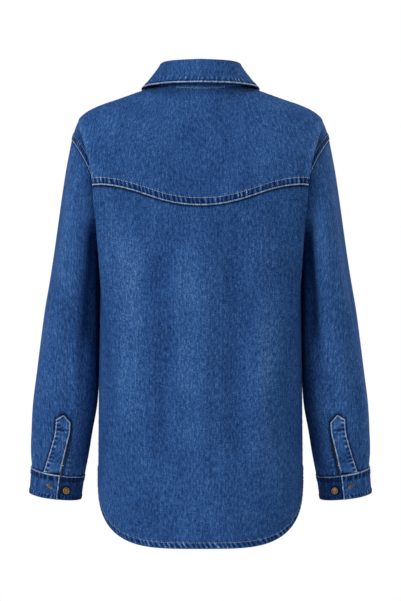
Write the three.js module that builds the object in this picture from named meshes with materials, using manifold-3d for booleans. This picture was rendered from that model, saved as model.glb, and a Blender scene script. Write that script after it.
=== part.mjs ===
// A long-sleeved denim shirt, filled out as if worn, with nobody in it.
// Millimetres. Z is up, the front faces -Y, the back faces +Y, the wearer's left is +X.
// The origin is at the base of the neck, where the shoulders carry the shirt.
// Every piece of cloth is a wall: its outer face is a grid of points, its inner face is moved in.
import * as THREE from "three";
import { mergeVertices } from "three/addons/utils/BufferGeometryUtils.js";
import Module from "manifold-3d";

const wasm = await Module();
wasm.setup();

// Cloth and seams
const cloth = 1.3; // one layer of denim with its seams pressed flat
const doubled = 2.2; // collar, stand and cuffs are two layers and a stiffener
const seamGap = 0.3; // between pieces that are sewn edge to edge
const lapRise = 0.8; // how far a lapped seam or a turned hem stands up

// Neck opening
const neckHalfWidth = 70;
const neckHalfDepth = 62;
const neckBackZ = 2;
const neckSideZ = 10;
const neckFrontZ = -62;
const yokeFrontY = { neck: -6, armhole: -22 }; // the yoke reaches this far forward

// Armhole: a loop that leans out at its top and is scooped towards the spine at its middle
const armhole = { topX: 199, topZ: -74, lowX: 155.5, lowZ: -232, halfDepth: 78, scoop: 20 };

// The top of the shoulder, from the neck out to the armhole
const shoulderLine = [
  { share: 0, x: 70, z: 10 },
  { share: 0.2, x: 96, z: 1 },
  { share: 0.42, x: 127, z: -10 },
  { share: 0.66, x: 160, z: -21.8 },
  { share: 0.8, x: 180.5, z: -33.4 },
  { share: 0.9, x: 190.5, z: -48 },
  { share: 1, x: 199, z: -74 },
];

// Girth of the body at each height: half width, depth behind and in front, and squareness
const bodySections = [
  { z: -147, halfWidth: 165, back: 117, front: 113, square: 3.8 },
  { z: -190, halfWidth: 159, back: 119.5, front: 120, square: 3.3 },
  { z: -232, halfWidth: 155.5, back: 119, front: 123, square: 3 },
  { z: -330, halfWidth: 155.6, back: 115, front: 120, square: 2.7 },
  { z: -480, halfWidth: 157, back: 113, front: 115, square: 2.6 },
  { z: -700, halfWidth: 158.5, back: 118, front: 114, square: 2.5 },
];

// Heights that bound the panels
const yokeSeamSideZ = -146.2; // the yoke seam on the blade of the shoulder
const yokeSeamDip = 33.5; // and how much lower it is at the spine
const chestSideZ = -153; // where the front turns from shoulder slope to upright, at the armhole
const chestCentreZ = -196; // and at its centre
const underarmZ = -236; // level line below the armholes
const backHem = { centreZ: -693, cornerRise: 75, sideRise: 34 };
const frontHem = { centreZ: -672, cornerRise: 56, sideRise: 32 };
const hemCorner = 4.1; // higher is a squarer corner of the shirt tail
const hemFlare = 1.8;

// Columns of the grids
const neckShare = 0.4; // part of a half panel's columns that ends on the neck
const frontLap = 0.075; // part of a half panel by which the fronts cross at the centre

// Soft folds that hang in the body, by the turn round it from the spine in degrees
const backFolds = [
  { turn: 46, width: 9, height: 5, topZ: -150, lowZ: -560, drift: 3 },
  { turn: 28, width: 7, height: -5, topZ: -190, lowZ: -640, drift: 2 },
  { turn: 3, width: 11, height: 4, topZ: -200, lowZ: -600, drift: -3 },
  { turn: -24, width: 8, height: -4.5, topZ: -180, lowZ: -620, drift: -2 },
  { turn: -41, width: 9, height: 4.5, topZ: -170, lowZ: -590, drift: -2 },
];
const frontFolds = [
  { turn: 34, width: 9, height: 4.5, topZ: -170, lowZ: -560, drift: 4 },
  { turn: 52, width: 8, height: -4.5, topZ: -200, lowZ: -610, drift: 3 },
  { turn: 68, width: 8, height: 3, topZ: -240, lowZ: -560, drift: 1 },
];
// The fullest folds: the back bulges sideways over each arm, by this much at each height
const cornerFold = { turn: 61, width: 11, outerWidth: 6, backShare: 0.25, armholePower: 16 };
const cornerReach = [
  { z: -20, reach: 0 },
  { z: -50, reach: 0.5 },
  { z: -83, reach: 4.5 },
  { z: -126, reach: 9.5 },
  { z: -150, reach: 13.5 },
  { z: -171, reach: 16.5 },
  { z: -217, reach: 16 },
  { z: -247, reach: 16.5 },
  { z: -292, reach: 16 },
  { z: -353, reach: 10 },
  { z: -415, reach: 3 },
  { z: -480, reach: 0 },
];
// Folds of the upper back, from the shoulder (0) over the yoke seam (1) to the underarm (2)
const yokeFolds = [
  { share: 0.34, width: 0.12, height: 2, from: 0.35, to: 1.5 },
  { share: -0.42, width: 0.12, height: 2, from: 0.35, to: 1.5 },
];

// Sleeve: each ring's outer and inner end as seen from behind, its depth and its middle,
// how far it is drawn in at its middle, and how much lower its back is than its front
const sleeveRings = [
  { outX: 199, outZ: -74, inX: 155.5, inZ: -232, halfDepth: 78, midY: 0, scoop: 20, tilt: 0 },
  { outX: 203.3, outZ: -95, inX: 156.3, inZ: -238, halfDepth: 77, midY: 0, scoop: 9, tilt: 0 },
  { outX: 208.3, outZ: -122, inX: 156.4, inZ: -248, halfDepth: 76, midY: -1, scoop: 3, tilt: 0 },
  { outX: 214.2, outZ: -160, inX: 156.5, inZ: -262, halfDepth: 75.5, midY: -2, scoop: 1, tilt: 0 },
  { outX: 219.8, outZ: -200, inX: 156.6, inZ: -282, halfDepth: 75, midY: -3, scoop: 0, tilt: 0 },
  { outX: 226.3, outZ: -245, inX: 156.7, inZ: -310, halfDepth: 73, midY: -5, scoop: 0, tilt: 0 },
  { outX: 233.4, outZ: -290, inX: 156.9, inZ: -342, halfDepth: 70, midY: -7, scoop: 0, tilt: 0 },
  { outX: 241.3, outZ: -335, inX: 157.1, inZ: -376, halfDepth: 67, midY: -9, scoop: 0, tilt: 0 },
  { outX: 247.8, outZ: -382, inX: 157.6, inZ: -410, halfDepth: 63, midY: -11, scoop: 0, tilt: 0 },
  { outX: 254, outZ: -430, inX: 158.4, inZ: -446, halfDepth: 59, midY: -13, scoop: 0, tilt: 0 },
  { outX: 260.2, outZ: -478, inX: 161.3, inZ: -484, halfDepth: 55.5, midY: -14, scoop: 0, tilt: 0.5 },
  { outX: 262.8, outZ: -520, inX: 168.5, inZ: -524, halfDepth: 52, midY: -15, scoop: 0, tilt: 1.5 },
  { outX: 262.6, outZ: -551, inX: 174.2, inZ: -559, halfDepth: 48, midY: -15, scoop: 0, tilt: 3 },
  { outX: 262, outZ: -579, inX: 180.6, inZ: -592, halfDepth: 43, midY: -15, scoop: 0, tilt: 4 },
];
const sleeveSquare = 2.15;
const sleeveFolds = [
  { turn: 62, width: 13, height: 3.5, from: 0.5, to: 7 },
  { turn: 30, width: 11, height: -3, from: 1, to: 8 },
  { turn: -60, width: 13, height: 3.5, from: 0.5, to: 7 },
  { turn: 120, width: 12, height: -3.5, from: 4, to: 10 },
  { turn: 52, width: 8, height: -2.5, from: 10.5, to: 13.6 },
  { turn: 20, width: 8, height: 2.5, from: 10.5, to: 13.6 },
  { turn: -35, width: 10, height: -2.5, from: 10, to: 13.6 },
];

// Cuff: a strip once round the sleeve's end and a little further, its ends one over the other
const cuffRings = [
  { down: 0, outX: 263.2, outZ: -579.4, inX: 180.2, inZ: -592.4, halfDepth: 43.6, midY: -15, tilt: 4 },
  { down: 1, outX: 266.2, outZ: -620, inX: 185.5, inZ: -630, halfDepth: 42, midY: -15.5, tilt: 2.5 },
];
const cuffEdgeTurn = 97; // where the over end stops, from the outer side round the back
const cuffUnder = 15; // degrees that the under end runs on below it
const cuffLift = doubled + 0.5;
const cuffButton = { turn: 113.3, down: 0.6 }; // on the under end, beside the over end's edge

// Sleeve placket: a pointed strip over the slit above the cuff, placed by its own middle line
const placketLine = [
  { z: -497, x: 209.8, halfWidth: 10.9 },
  { z: -523, x: 211.5, halfWidth: 11 },
  { z: -538, x: 214.8, halfWidth: 11.2 },
  { z: -555, x: 219.2, halfWidth: 11.6 },
  { z: -574, x: 224.6, halfWidth: 12.2 },
  { z: -586, x: 228.2, halfWidth: 12.4 },
];
const placket = { outerTip: 7, innerTip: 12, thick: 1.2 };
const slit = { width: 2.4, top: -528, length: 80, reach: 60 };
const binding = { farX: 198.8, thick: 1, topZ: -541 };

// Collar
const standRise = { back: 41.9, side: 28.2, front: 27, bend: 1.5 };
const standLean = 0.35;
const standLapTurn = 11; // degrees past the centre front
const collarRoll = 3;
const leafEdge = [
  { turn: 0, x: 0, y: 74.5, z: 8.5 },
  { turn: 30, x: 43, y: 66, z: 8.5 },
  { turn: 60, x: 75, y: 41, z: 7.8 },
  { turn: 85, x: 90, y: 6, z: 6.8 },
  { turn: 108, x: 90, y: -32, z: 1.5 },
  { turn: 124, x: 84, y: -61, z: -17 },
  { turn: 140, x: 75, y: -89, z: -41 },
  { turn: 154, x: 66, y: -101, z: -64 },
  { turn: 168, x: 54, y: -109, z: -87 },
];
const leafEndTurn = 168;
const leafPull = { out: 0, down: 3 }; // how the leaf turns from its roll to its fall

// Front band and buttons
const bandThick = 1.2;
const buttonDiameter = 10.5;
const buttonRise = 3.6;
const frontButtonHeights = [-112, -196, -280, -364, -448, -532];

const denimBlue = 0x4a5f80;
const seamBlue = 0x43587a;
const brass = 0x6b5638;

// Small helpers
const radians = (degrees) => (degrees * Math.PI) / 180;
const lerp = (a, b, t) => a + (b - a) * t;
const clamp = (t) => Math.min(1, Math.max(0, t));
const ease = (t) => clamp(t) * clamp(t) * (3 - 2 * clamp(t));
const bump = (offset, width) => Math.exp(-((offset / width) ** 2));

// A column of a table, read smoothly at any value of its key column.
function read(table, key, at, column) {
  const falling = table[0][key] > table[table.length - 1][key];
  const rows = falling ? [...table].reverse() : table;
  const last = rows.length - 1;
  let i = 0;
  while (i < last - 1 && at > rows[i + 1][key]) i += 1;
  const slope = (a, b) => (rows[b][column] - rows[a][column]) / (rows[b][key] - rows[a][key]);
  const step = rows[i + 1][key] - rows[i][key];
  const t = clamp((at - rows[i][key]) / step);
  const before = slope(Math.max(0, i - 1), i + 1);
  const after = slope(i, Math.min(last, i + 2));
  const a = rows[i][column];
  const b = rows[i + 1][column];
  const turnIn = (t * t * t - 2 * t * t + t) * step * before;
  const turnOut = (t * t * t - t * t) * step * after;
  return a + (b - a) * (3 * t * t - 2 * t * t * t) + turnIn + turnOut;
}

const vector = (x, y, z) => new THREE.Vector3(x, y, z);

// Surface of the body: one half of the back or of the front

// The neck seam, by the turn from the spine; beyond a half turn it comes back on the other side.
function neckPoint(turn) {
  const angle = radians(turn);
  const side = Math.sin(angle);
  const ahead = Math.max(0, -Math.cos(angle));
  const behind = Math.max(0, Math.cos(angle));
  const rise = lerp(neckBackZ, neckSideZ, 1 - behind * behind);
  const drop = (neckSideZ - neckFrontZ) * ahead * ahead;
  return vector(neckHalfWidth * side, neckHalfDepth * Math.cos(angle), rise - drop);
}

function armholePoint(turn) {
  const angle = radians(turn);
  const middleX = (armhole.topX + armhole.lowX) / 2;
  const middleZ = (armhole.topZ + armhole.lowZ) / 2;
  const reach = Math.sin(angle);
  return vector(
    middleX + ((armhole.topX - armhole.lowX) / 2) * Math.cos(angle) - armhole.scoop * reach * reach,
    armhole.halfDepth * reach,
    middleZ + ((armhole.topZ - armhole.lowZ) / 2) * Math.cos(angle),
  );
}

// A point of the body's girth, by the turn from the spine (or from the front's centre).
function girthPoint(face, turn, z) {
  const angle = radians(turn);
  const halfWidth = read(bodySections, "z", z, "halfWidth");
  const depth = read(bodySections, "z", z, face === 1 ? "back" : "front");
  const square = read(bodySections, "z", z, "square");
  const across = Math.abs(Math.sin(angle) / halfWidth) ** square;
  const along = Math.abs(Math.cos(angle) / depth) ** square;
  const radius = (across + along) ** (-1 / square);
  return vector(radius * Math.sin(angle), face * radius * Math.cos(angle), z);
}

// The girth is drawn sideways near the armhole until it ends exactly on it.
const turnOf = (point) => THREE.MathUtils.radToDeg(Math.atan2(point.x, Math.abs(point.y)));
function bindToArmhole(point, edge, face, share) {
  const miss = edge.clone().sub(girthPoint(face, turnOf(edge), edge.z));
  return point.addScaledVector(miss, share ** 6);
}

// The lower end of the shoulder slope: the yoke seam behind, the chest line in front.
// Its last part turns down to end on the armhole's middle.
const seamEndPower = 18;
const chestTurn = turnOf(armholePoint(90));
function seamPoint(face, share) {
  const level = girthPoint(face, Math.abs(share) * chestTurn, yokeSeamSideZ);
  const across = Math.abs(level.x) / armholePoint(90).x;
  const wave = (1 + Math.cos(Math.PI * Math.min(1, across) ** 1.1)) / 2;
  const sideZ = face === 1 ? yokeSeamSideZ : chestSideZ;
  const dip = face === 1 ? yokeSeamDip : chestSideZ - chestCentreZ;
  const turnDown = (armholePoint(90).z - sideZ) * Math.abs(share) ** seamEndPower;
  const point = girthPoint(face, Math.abs(share) * chestTurn, sideZ - dip * wave + turnDown);
  return bindToArmhole(point, armholePoint(face * 90), face, Math.abs(share));
}

// Share of a column's lean that follows the armhole's own; the rest follows its scoop
const armholeLean = (armhole.topX - armhole.lowX) / 2;
const scoopShare = armholeLean / (armholeLean + armhole.scoop);

// Where a column of the slope starts: on the neck, or on the yoke's front edge over the shoulder.
const neckEndTurn = THREE.MathUtils.radToDeg(Math.acos(yokeFrontY.neck / neckHalfDepth));
const armholeFrontTurn = THREE.MathUtils.radToDeg(Math.asin(yokeFrontY.armhole / armhole.halfDepth));
function frontEdgePoint(share) {
  const low = seamPoint(1, share);
  const outward = clamp((share - neckShare) / (1 - neckShare));
  const sine = lerp(yokeFrontY.neck, yokeFrontY.armhole, outward) / low.y;
  const top = vector(
    read(shoulderLine, "share", outward, "x"),
    0,
    read(shoulderLine, "share", outward, "z"),
  );
  return slopePoint(low, top, sine, Math.sqrt(1 - sine * sine));
}
const neckCorner = neckPoint(neckEndTurn);
const neckMiss = neckCorner.clone().sub(frontEdgePoint(neckShare));
function slopeStart(share) {
  const low = seamPoint(1, share);
  if (share < neckShare) return slopeFrom(low, neckPoint((share / neckShare) * neckEndTurn));
  const inward = 1 - (share - neckShare) / (1 - neckShare);
  return slopeFrom(low, frontEdgePoint(share).addScaledVector(neckMiss, inward ** 4));
}

// A column of the slope is a quarter of an ellipse from a level top down to an upright end.
function slopePoint(low, top, sine, cosine) {
  const inward = scoopShare * cosine + (1 - scoopShare) * cosine * cosine;
  return vector(
    low.x + (top.x - low.x) * inward,
    low.y * sine,
    low.z + (top.z - low.z) * cosine,
  );
}

// The column whose ellipse passes through a given start.
function slopeFrom(low, start) {
  const sine = start.y / low.y;
  const cosine = Math.sqrt(1 - sine * sine);
  const inward = scoopShare * cosine + (1 - scoopShare) * cosine * cosine;
  const top = vector(low.x + (start.x - low.x) / inward, 0, low.z + (start.z - low.z) / cosine);
  return { low, sine, point: start, top };
}

// Back slope: down = 0 at the neck or the yoke's front edge, 1 at the yoke seam.
function yokePoint(signedShare, down) {
  const share = Math.abs(signedShare);
  const column = slopeStart(share);
  const from = Math.asin(column.sine);
  const angle = lerp(from, Math.PI / 2, down);
  const point = slopePoint(column.low, column.top, Math.sin(angle), Math.cos(angle));
  liftShoulder(point, signedShare, down);
  pushCorner(point, share * chestTurn, share);
  point.x *= Math.sign(signedShare) || 1;
  return point;
}

// The corner fold is pushed sideways and a little backwards, but never at the armhole seam.
function pushCorner(point, turn, share) {
  const z = Math.min(cornerReach[0].z, Math.max(cornerReach[cornerReach.length - 1].z, point.z));
  const away = turn - cornerFold.turn;
  const bell = bump(away, away > 0 ? cornerFold.outerWidth : cornerFold.width);
  const reach = read(cornerReach, "z", z, "reach") * bell * (1 - share ** cornerFold.armholePower);
  return point.add(vector(reach, cornerFold.backShare * reach, 0));
}

// The folds of the upper back push outwards, but never at the armhole seam.
function liftShoulder(point, signedShare, along) {
  const lift = yokeFolds.reduce((sum, fold) => {
    const strength = ease((along - fold.from) / 0.4) * (1 - ease((along - fold.to + 0.6) / 0.6));
    return sum + fold.height * bump(signedShare - fold.share, fold.width) * strength;
  }, 0);
  const outward = vector(point.x, point.y, 0).normalize();
  point.addScaledVector(outward, lift * (1 - Math.abs(signedShare) ** 12));
}

// Front slope: down = 0 at the neck or the yoke's front edge, 1 at the chest line.
function chestPoint(signedShare, down) {
  const share = Math.abs(signedShare);
  const low = seamPoint(-1, share);
  const start = share >= neckShare
    ? slopeStart(share).point
    : neckPoint(lerp(180, neckEndTurn, share / neckShare));
  const column = slopeFrom(low, start);
  const from = Math.asin(column.sine);
  const angle = lerp(from, Math.PI / 2, down);
  const point = slopePoint(column.low, column.top, Math.sin(angle), Math.cos(angle));
  point.x *= Math.sign(signedShare) || 1;
  return point;
}

// The lower half of the armhole, kept just clear of the side seam's line, and its turn round the body
function armholeEdge(face, down) {
  const edge = armholePoint(face * (90 + 90 * down));
  edge.y = face * Math.max(seamGap, Math.abs(edge.y));
  return edge;
}
const sideTurn = turnOf(vector(armhole.lowX, seamGap, 0));

// The panels below the slope: down = 0 at the seam or chest line, 1 at the underarm level.
function sidePoint(face, signedShare, down) {
  const share = Math.abs(signedShare);
  const edge = armholeEdge(face, down);
  const drop = lerp(down, Math.sin(radians(90 * down)), share ** 6);
  const level = lerp(underarmZ, armhole.lowZ, share * share);
  const z = lerp(seamPoint(face, share).z, level, drop);
  const point = bindToArmhole(girthPoint(face, share * turnOf(edge), z), edge, face, share);
  if (face === 1) {
    liftShoulder(point, signedShare, 1 + down);
    pushCorner(point, share * turnOf(edge), share);
  }
  point.x *= Math.sign(signedShare) || 1;
  return point;
}

// The shirt tail: how far the hem lies above its middle, by the share of the half width.
function hemZ(hem, face, share) {
  const point = girthPoint(face, share * 90, hem.centreZ + hem.cornerRise);
  const across = Math.min(1, point.x / read(bodySections, "z", hem.centreZ, "halfWidth"));
  const corner = 1 - (1 - across ** hemCorner) ** (1 / hemFlare);
  const depth = read(bodySections, "z", hem.centreZ, face === 1 ? "back" : "front");
  const side = clamp(1 - Math.abs(point.y) / depth) ** 4;
  return hem.centreZ + hem.cornerRise * corner + hem.sideRise * side;
}

// The hanging part: down = 0 at the underarm level, 1 at the hem.
function hangPoint(face, signedShare, down) {
  const share = Math.abs(signedShare);
  const hem = face === 1 ? backHem : frontHem;
  const level = lerp(underarmZ, armhole.lowZ, share * share);
  const z = lerp(level, hemZ(hem, face, share), down);
  const point = girthPoint(face, share * sideTurn, z);
  if (face === 1) pushCorner(point, share * sideTurn, 0);
  point.x *= Math.sign(signedShare) || 1;
  return point;
}

// Folds push a point of the body straight out from its upright middle line.
function foldBody(point, folds, turn) {
  const lift = folds.reduce((sum, fold) => {
    const length = fold.topZ - fold.lowZ;
    const along = (fold.topZ - point.z) / length;
    const strength = ease(along / 0.25) * (1 - ease((along - 0.7) / 0.4));
    const place = fold.turn + fold.drift * along;
    return sum + fold.height * strength * bump(turn - place, fold.width);
  }, 0);
  const outward = vector(point.x, point.y, 0).normalize();
  return point.addScaledVector(outward, lift);
}

// A wall from a grid of outer points. facing = 1 or -1 turns the outer side over.
// The diagonals of a panel's second half mirror those of its first.
// ring joins the last column to the first. rise(i, j) adds thickness outwards.
function wall(grid, thick, facing, ring = false, rise = () => 0) {
  const rows = grid.length;
  const columns = grid[0].length;
  const across = (i, j, step) => {
    const to = ring ? (j + step + columns) % columns : Math.min(columns - 1, Math.max(0, j + step));
    return grid[i][to];
  };
  const downward = (i, j, step) => grid[Math.min(rows - 1, Math.max(0, i + step))][j];
  const outer = [];
  const inner = [];
  for (let i = 0; i < rows; i += 1) {
    for (let j = 0; j < columns; j += 1) {
      const alongRow = across(i, j, 1).clone().sub(across(i, j, -1));
      const alongColumn = downward(i, j, 1).clone().sub(downward(i, j, -1));
      const normal = alongRow.cross(alongColumn).normalize().multiplyScalar(facing);
      outer.push(grid[i][j].clone().addScaledVector(normal, rise(i, j)));
      inner.push(grid[i][j].clone().addScaledVector(normal, -thick));
    }
  }
  const points = [...outer, ...inner];
  const half = outer.length;
  const faces = [];
  const quad = (a, b, c, d) => {
    faces.push(a, b, c);
    faces.push(a, c, d);
  };
  const spans = ring ? columns : columns - 1;
  for (let i = 0; i < rows - 1; i += 1) {
    for (let j = 0; j < spans; j += 1) {
      const a = i * columns + j;
      const b = i * columns + ((j + 1) % columns);
      const c = b + columns;
      const d = a + columns;
      if (ring || j < spans / 2) {
        quad(a, b, c, d);
        quad(half + d, half + c, half + b, half + a);
      } else {
        quad(b, c, d, a);
        quad(half + a, half + d, half + c, half + b);
      }
    }
  }
  for (let j = 0; j < spans; j += 1) {
    const a = j;
    const b = (j + 1) % columns;
    const bottom = (rows - 1) * columns;
    quad(b, a, half + a, half + b);
    quad(bottom + a, bottom + b, half + bottom + b, half + bottom + a);
  }
  if (!ring) {
    for (let i = 0; i < rows - 1; i += 1) {
      const a = i * columns;
      const b = a + columns;
      const end = columns - 1;
      quad(a, b, half + b, half + a);
      quad(b + end, a + end, half + a + end, half + b + end);
    }
  }
  const geometry = new THREE.BufferGeometry();
  geometry.setAttribute(
    "position",
    new THREE.Float32BufferAttribute(points.flatMap((p) => [p.x, p.y, p.z]), 3),
  );
  geometry.setIndex(facing === 1 ? faces : turnOver(faces));
  return geometry;
}

function turnOver(faces) {
  const turned = [];
  for (let i = 0; i < faces.length; i += 3) turned.push(faces[i], faces[i + 2], faces[i + 1]);
  return turned;
}

// Grids: rows run down the garment, columns run across it
const steps = (from, to, count) => Array.from({ length: count + 1 }, (_, i) => lerp(from, to, i / count));
const mirrored = (grid) => grid.map((row) => row.map((p) => vector(-p.x, p.y, p.z)));

const shirt = new THREE.Group();
const materials = {
  denim: { color: denimBlue, roughness: 0.9, metalness: 0 },
  band: { color: seamBlue, roughness: 0.9, metalness: 0 },
  metal: { color: brass, roughness: 0.45, metalness: 0.9 },
};
function add(name, geometry, kind) {
  const mesh = new THREE.Mesh(geometry, new THREE.MeshStandardMaterial(materials[kind]));
  mesh.name = name;
  shirt.add(mesh);
  return mesh;
}

// Back yoke and back body: full panels, shares run from -1 (right armhole) to 1 (left armhole)
const halfShares = [...steps(0, 0.84, 11), 0.88, 0.92, 0.96, 1];
const backShares = [...halfShares.slice(1).reverse().map((share) => -share), ...halfShares];
const yokeDowns = [0, 0.1, 0.22, 0.36, 0.5, 0.64, 0.78, 0.9, 0.95, 1];
const yokeGrid = yokeDowns.map((down) => backShares.map((share) => yokePoint(share, down)));
const lapFade = (j) => 1 - ease((Math.abs(backShares[j]) - 0.84) / 0.1);
const yokeRise = (i, j) => (yokeDowns[i] > 0.92 ? lapRise * lapFade(j) : 0);
add("back_yoke", wall(yokeGrid, cloth, 1, false, yokeRise), "denim");

function panelRows(face, shares, sideDowns, hangDowns, folds) {
  const foldTurn = (share, edgeTurn) => share * edgeTurn;
  const side = sideDowns.map((down) => shares.map((share) => {
    const edgeTurn = turnOf(armholeEdge(face, down));
    return foldBody(sidePoint(face, share, down), folds, foldTurn(share, edgeTurn));
  }));
  const hang = hangDowns.map((down) => shares.map((share) => (
    foldBody(hangPoint(face, share, down), folds, foldTurn(share, 90))
  )));
  return [...side, ...hang];
}

const sideDowns = [0.009, 0.2, 0.42, 0.66, 0.84, 1];
const hangDowns = [0.07, 0.17, 0.28, 0.4, 0.52, 0.64, 0.75, 0.85, 0.93, 0.976, 0.98, 1];
const hemRow = sideDowns.length + hangDowns.length - 2;
const hemRise = (i) => (i >= hemRow ? lapRise : 0);
const backGrid = panelRows(1, backShares, sideDowns, hangDowns, backFolds);
add("back_body", wall(backGrid, cloth, 1, false, hemRise), "denim");

// Fronts: each from its side seam to just past the centre; the right one lies over the left
const chestDowns = [0.01, 0.12, 0.26, 0.42, 0.6, 0.8];
const lapShares = [-frontLap, -0.03, 0.03, frontLap];
const frontShares = [...lapShares, 0.14, 0.24, 0.34, 0.44, 0.54, 0.64, 0.74, 0.83, 0.92, 1];
const frontOverlap = (share, rise) => rise * (1 - ease((Math.abs(share) - frontLap) / 0.08));
function frontGrid(shares, rise) {
  const slope = chestDowns.map((down) => shares.map((share) => chestPoint(share, down)));
  const hang = panelRows(-1, shares, [0, ...sideDowns.slice(1)], hangDowns, frontFolds);
  return [...slope, ...hang].map((row) => row.map((point, j) => {
    const outward = vector(point.x, point.y, 0).normalize();
    return point.addScaledVector(outward, frontOverlap(shares[j], rise));
  }));
}
const frontHemRise = (i) => hemRise(i - chestDowns.length);
add("front_left", wall(frontGrid(frontShares, 0), cloth, -1, false, frontHemRise), "denim");
const overRise = cloth + lapRise + 4 * seamGap;
const rightGrid = mirrored(frontGrid(frontShares, overRise));
add("front_right", wall(rightGrid, cloth, 1, false, frontHemRise), "denim");

// Front band: sewn on the edge of the right front, from the neck to the hem
const bandOut = overRise + lapRise + 3 * seamGap + bandThick;
const bandGrid = mirrored(frontGrid(lapShares, bandOut));
add("front_band", wall(bandGrid, bandThick, 1), "band");

// Sleeves
const ringIndex = sleeveRings.map((ring, index) => ({ index, ...ring }));
const sleeveColumns = ["outX", "outZ", "inX", "inZ", "halfDepth", "midY", "scoop", "tilt"];
function sleeveRing(at) {
  return Object.fromEntries(sleeveColumns.map((name) => [name, read(ringIndex, "index", at, name)]));
}
function ringPoint(ring, turn, square) {
  const angle = radians(turn);
  const power = 2 / square;
  const out = Math.sign(Math.cos(angle)) * Math.abs(Math.cos(angle)) ** power;
  const back = Math.sign(Math.sin(angle)) * Math.abs(Math.sin(angle)) ** power;
  return vector(
    (ring.outX + ring.inX) / 2 + ((ring.outX - ring.inX) / 2) * out - (ring.scoop ?? 0) * back * back,
    ring.midY + ring.halfDepth * back,
    (ring.outZ + ring.inZ) / 2 + ((ring.outZ - ring.inZ) / 2) * out - ring.tilt * back,
  );
}
function sleevePoint(at, turn) {
  const ring = sleeveRing(at);
  const point = ringPoint(ring, turn, lerp(2, sleeveSquare, clamp(at)));
  const lift = sleeveFolds.reduce((sum, fold) => {
    const strength = ease((at - fold.from) / 1.5) * (1 - ease((at - fold.to + 1.5) / 1.5));
    return sum + fold.height * strength * bump(turn - fold.turn, fold.width);
  }, 0);
  const middle = vector((ring.outX + ring.inX) / 2, ring.midY, point.z);
  const outward = point.clone().sub(middle).normalize();
  point.addScaledVector(outward, lift);
  const start = 1 - clamp(at);
  return point.add(vector(seamGap * 1.5 * start, 0, -seamGap * start));
}
const lastRing = sleeveRings.length - 1;
const sleeveAts = [0, 0.5, 1, 1.6, 2.3, 3, 4, 5, 6, 7, 8, 9, 10, 10.8, 11.5, 12.2, lastRing];
// The sleeve's columns start where the panels' rows end on the armhole.
const sleeveTurns = [
  ...sideDowns.slice(1).reverse().map((down) => -90 - 90 * down),
  ...[1, ...chestDowns.slice(1).reverse()].map((down) => lerp(armholeFrontTurn, -90, down)),
  ...yokeDowns.map((down) => lerp(armholeFrontTurn, 90, down)),
  ...sideDowns.slice(1, -1).map((down) => 90 + 90 * down),
];
const sleeveGrid = sleeveAts.map((at) => sleeveTurns.map((turn) => sleevePoint(at, turn)));

// The sleeve's point nearest to a place seen from behind, moved out by a given amount.
function sleeveAtPlace(x, z, out) {
  let at = 11;
  let turn = 90;
  for (let pass = 0; pass < 12; pass += 1) {
    const here = sleevePoint(at, turn);
    at = Math.min(lastRing, at + (here.z - z) / 36);
    turn = turn + THREE.MathUtils.radToDeg((here.x - x) / 42);
  }
  const here = sleevePoint(at, turn);
  const alongTurn = sleevePoint(at, turn + 2).sub(sleevePoint(at, turn - 2));
  const alongSleeve = sleevePoint(at, turn).sub(sleevePoint(at - 0.3, turn));
  const normal = alongTurn.cross(alongSleeve).normalize();
  return here.addScaledVector(normal, -out * Math.sign(-normal.y));
}

// The slit is cut through the sleeve's back wall along the inner edge of the placket.
function solidOf(geometry) {
  const bare = geometry.clone();
  bare.deleteAttribute("normal");
  bare.deleteAttribute("uv");
  const merged = mergeVertices(bare, 1e-4);
  return new wasm.Manifold(new wasm.Mesh({
    numProp: 3,
    vertProperties: merged.attributes.position.array,
    triVerts: new Uint32Array(merged.index.array),
  }));
}
function geometryOf(solid) {
  const mesh = solid.getMesh();
  const geometry = new THREE.BufferGeometry();
  geometry.setAttribute("position", new THREE.BufferAttribute(mesh.vertProperties, 3));
  geometry.setIndex(new THREE.BufferAttribute(mesh.triVerts, 1));
  return geometry;
}
const placketEdge = (z, offset) => (
  read(placketLine, "z", z, "x") - offset * read(placketLine, "z", z, "halfWidth")
);
function slitTool() {
  const edge = (z) => placketEdge(z, 1) - slit.width / 2;
  const low = slit.top - slit.length;
  const lowEdge = edge(placketLine[placketLine.length - 1].z);
  const outline = new THREE.Shape();
  outline.moveTo(edge(slit.top) - slit.width / 2, slit.top);
  outline.lineTo(edge(slit.top) + slit.width / 2, slit.top);
  outline.lineTo(lowEdge + slit.width, low);
  outline.lineTo(lowEdge - slit.width, low);
  const tool = new THREE.ExtrudeGeometry(outline, { depth: slit.reach, bevelEnabled: false });
  tool.rotateX(Math.PI / 2);
  tool.translate(0, slit.reach, 0);
  return tool;
}

function placketGrid(out) {
  const offsets = [-1, -0.5, 0, 0.5, 1];
  const topZ = placketLine[0].z;
  const lowZ = placketLine[placketLine.length - 1].z;
  return steps(0, 1, 7).map((down) => offsets.map((offset) => {
    const start = topZ - (offset > 0 ? placket.innerTip : placket.outerTip) * Math.abs(offset);
    const z = lerp(start, lowZ, down);
    return sleeveAtPlace(placketEdge(z, offset), z, out);
  }));
}
function bindingGrid(out) {
  return steps(binding.topZ, placketLine[placketLine.length - 1].z, 5).map((z) => (
    [0, 0.5, 1].map((share) => {
      const edge = placketEdge(z, 1) - slit.width - 1;
      return sleeveAtPlace(lerp(edge, binding.farX, share), z, out);
    })
  ));
}

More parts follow.
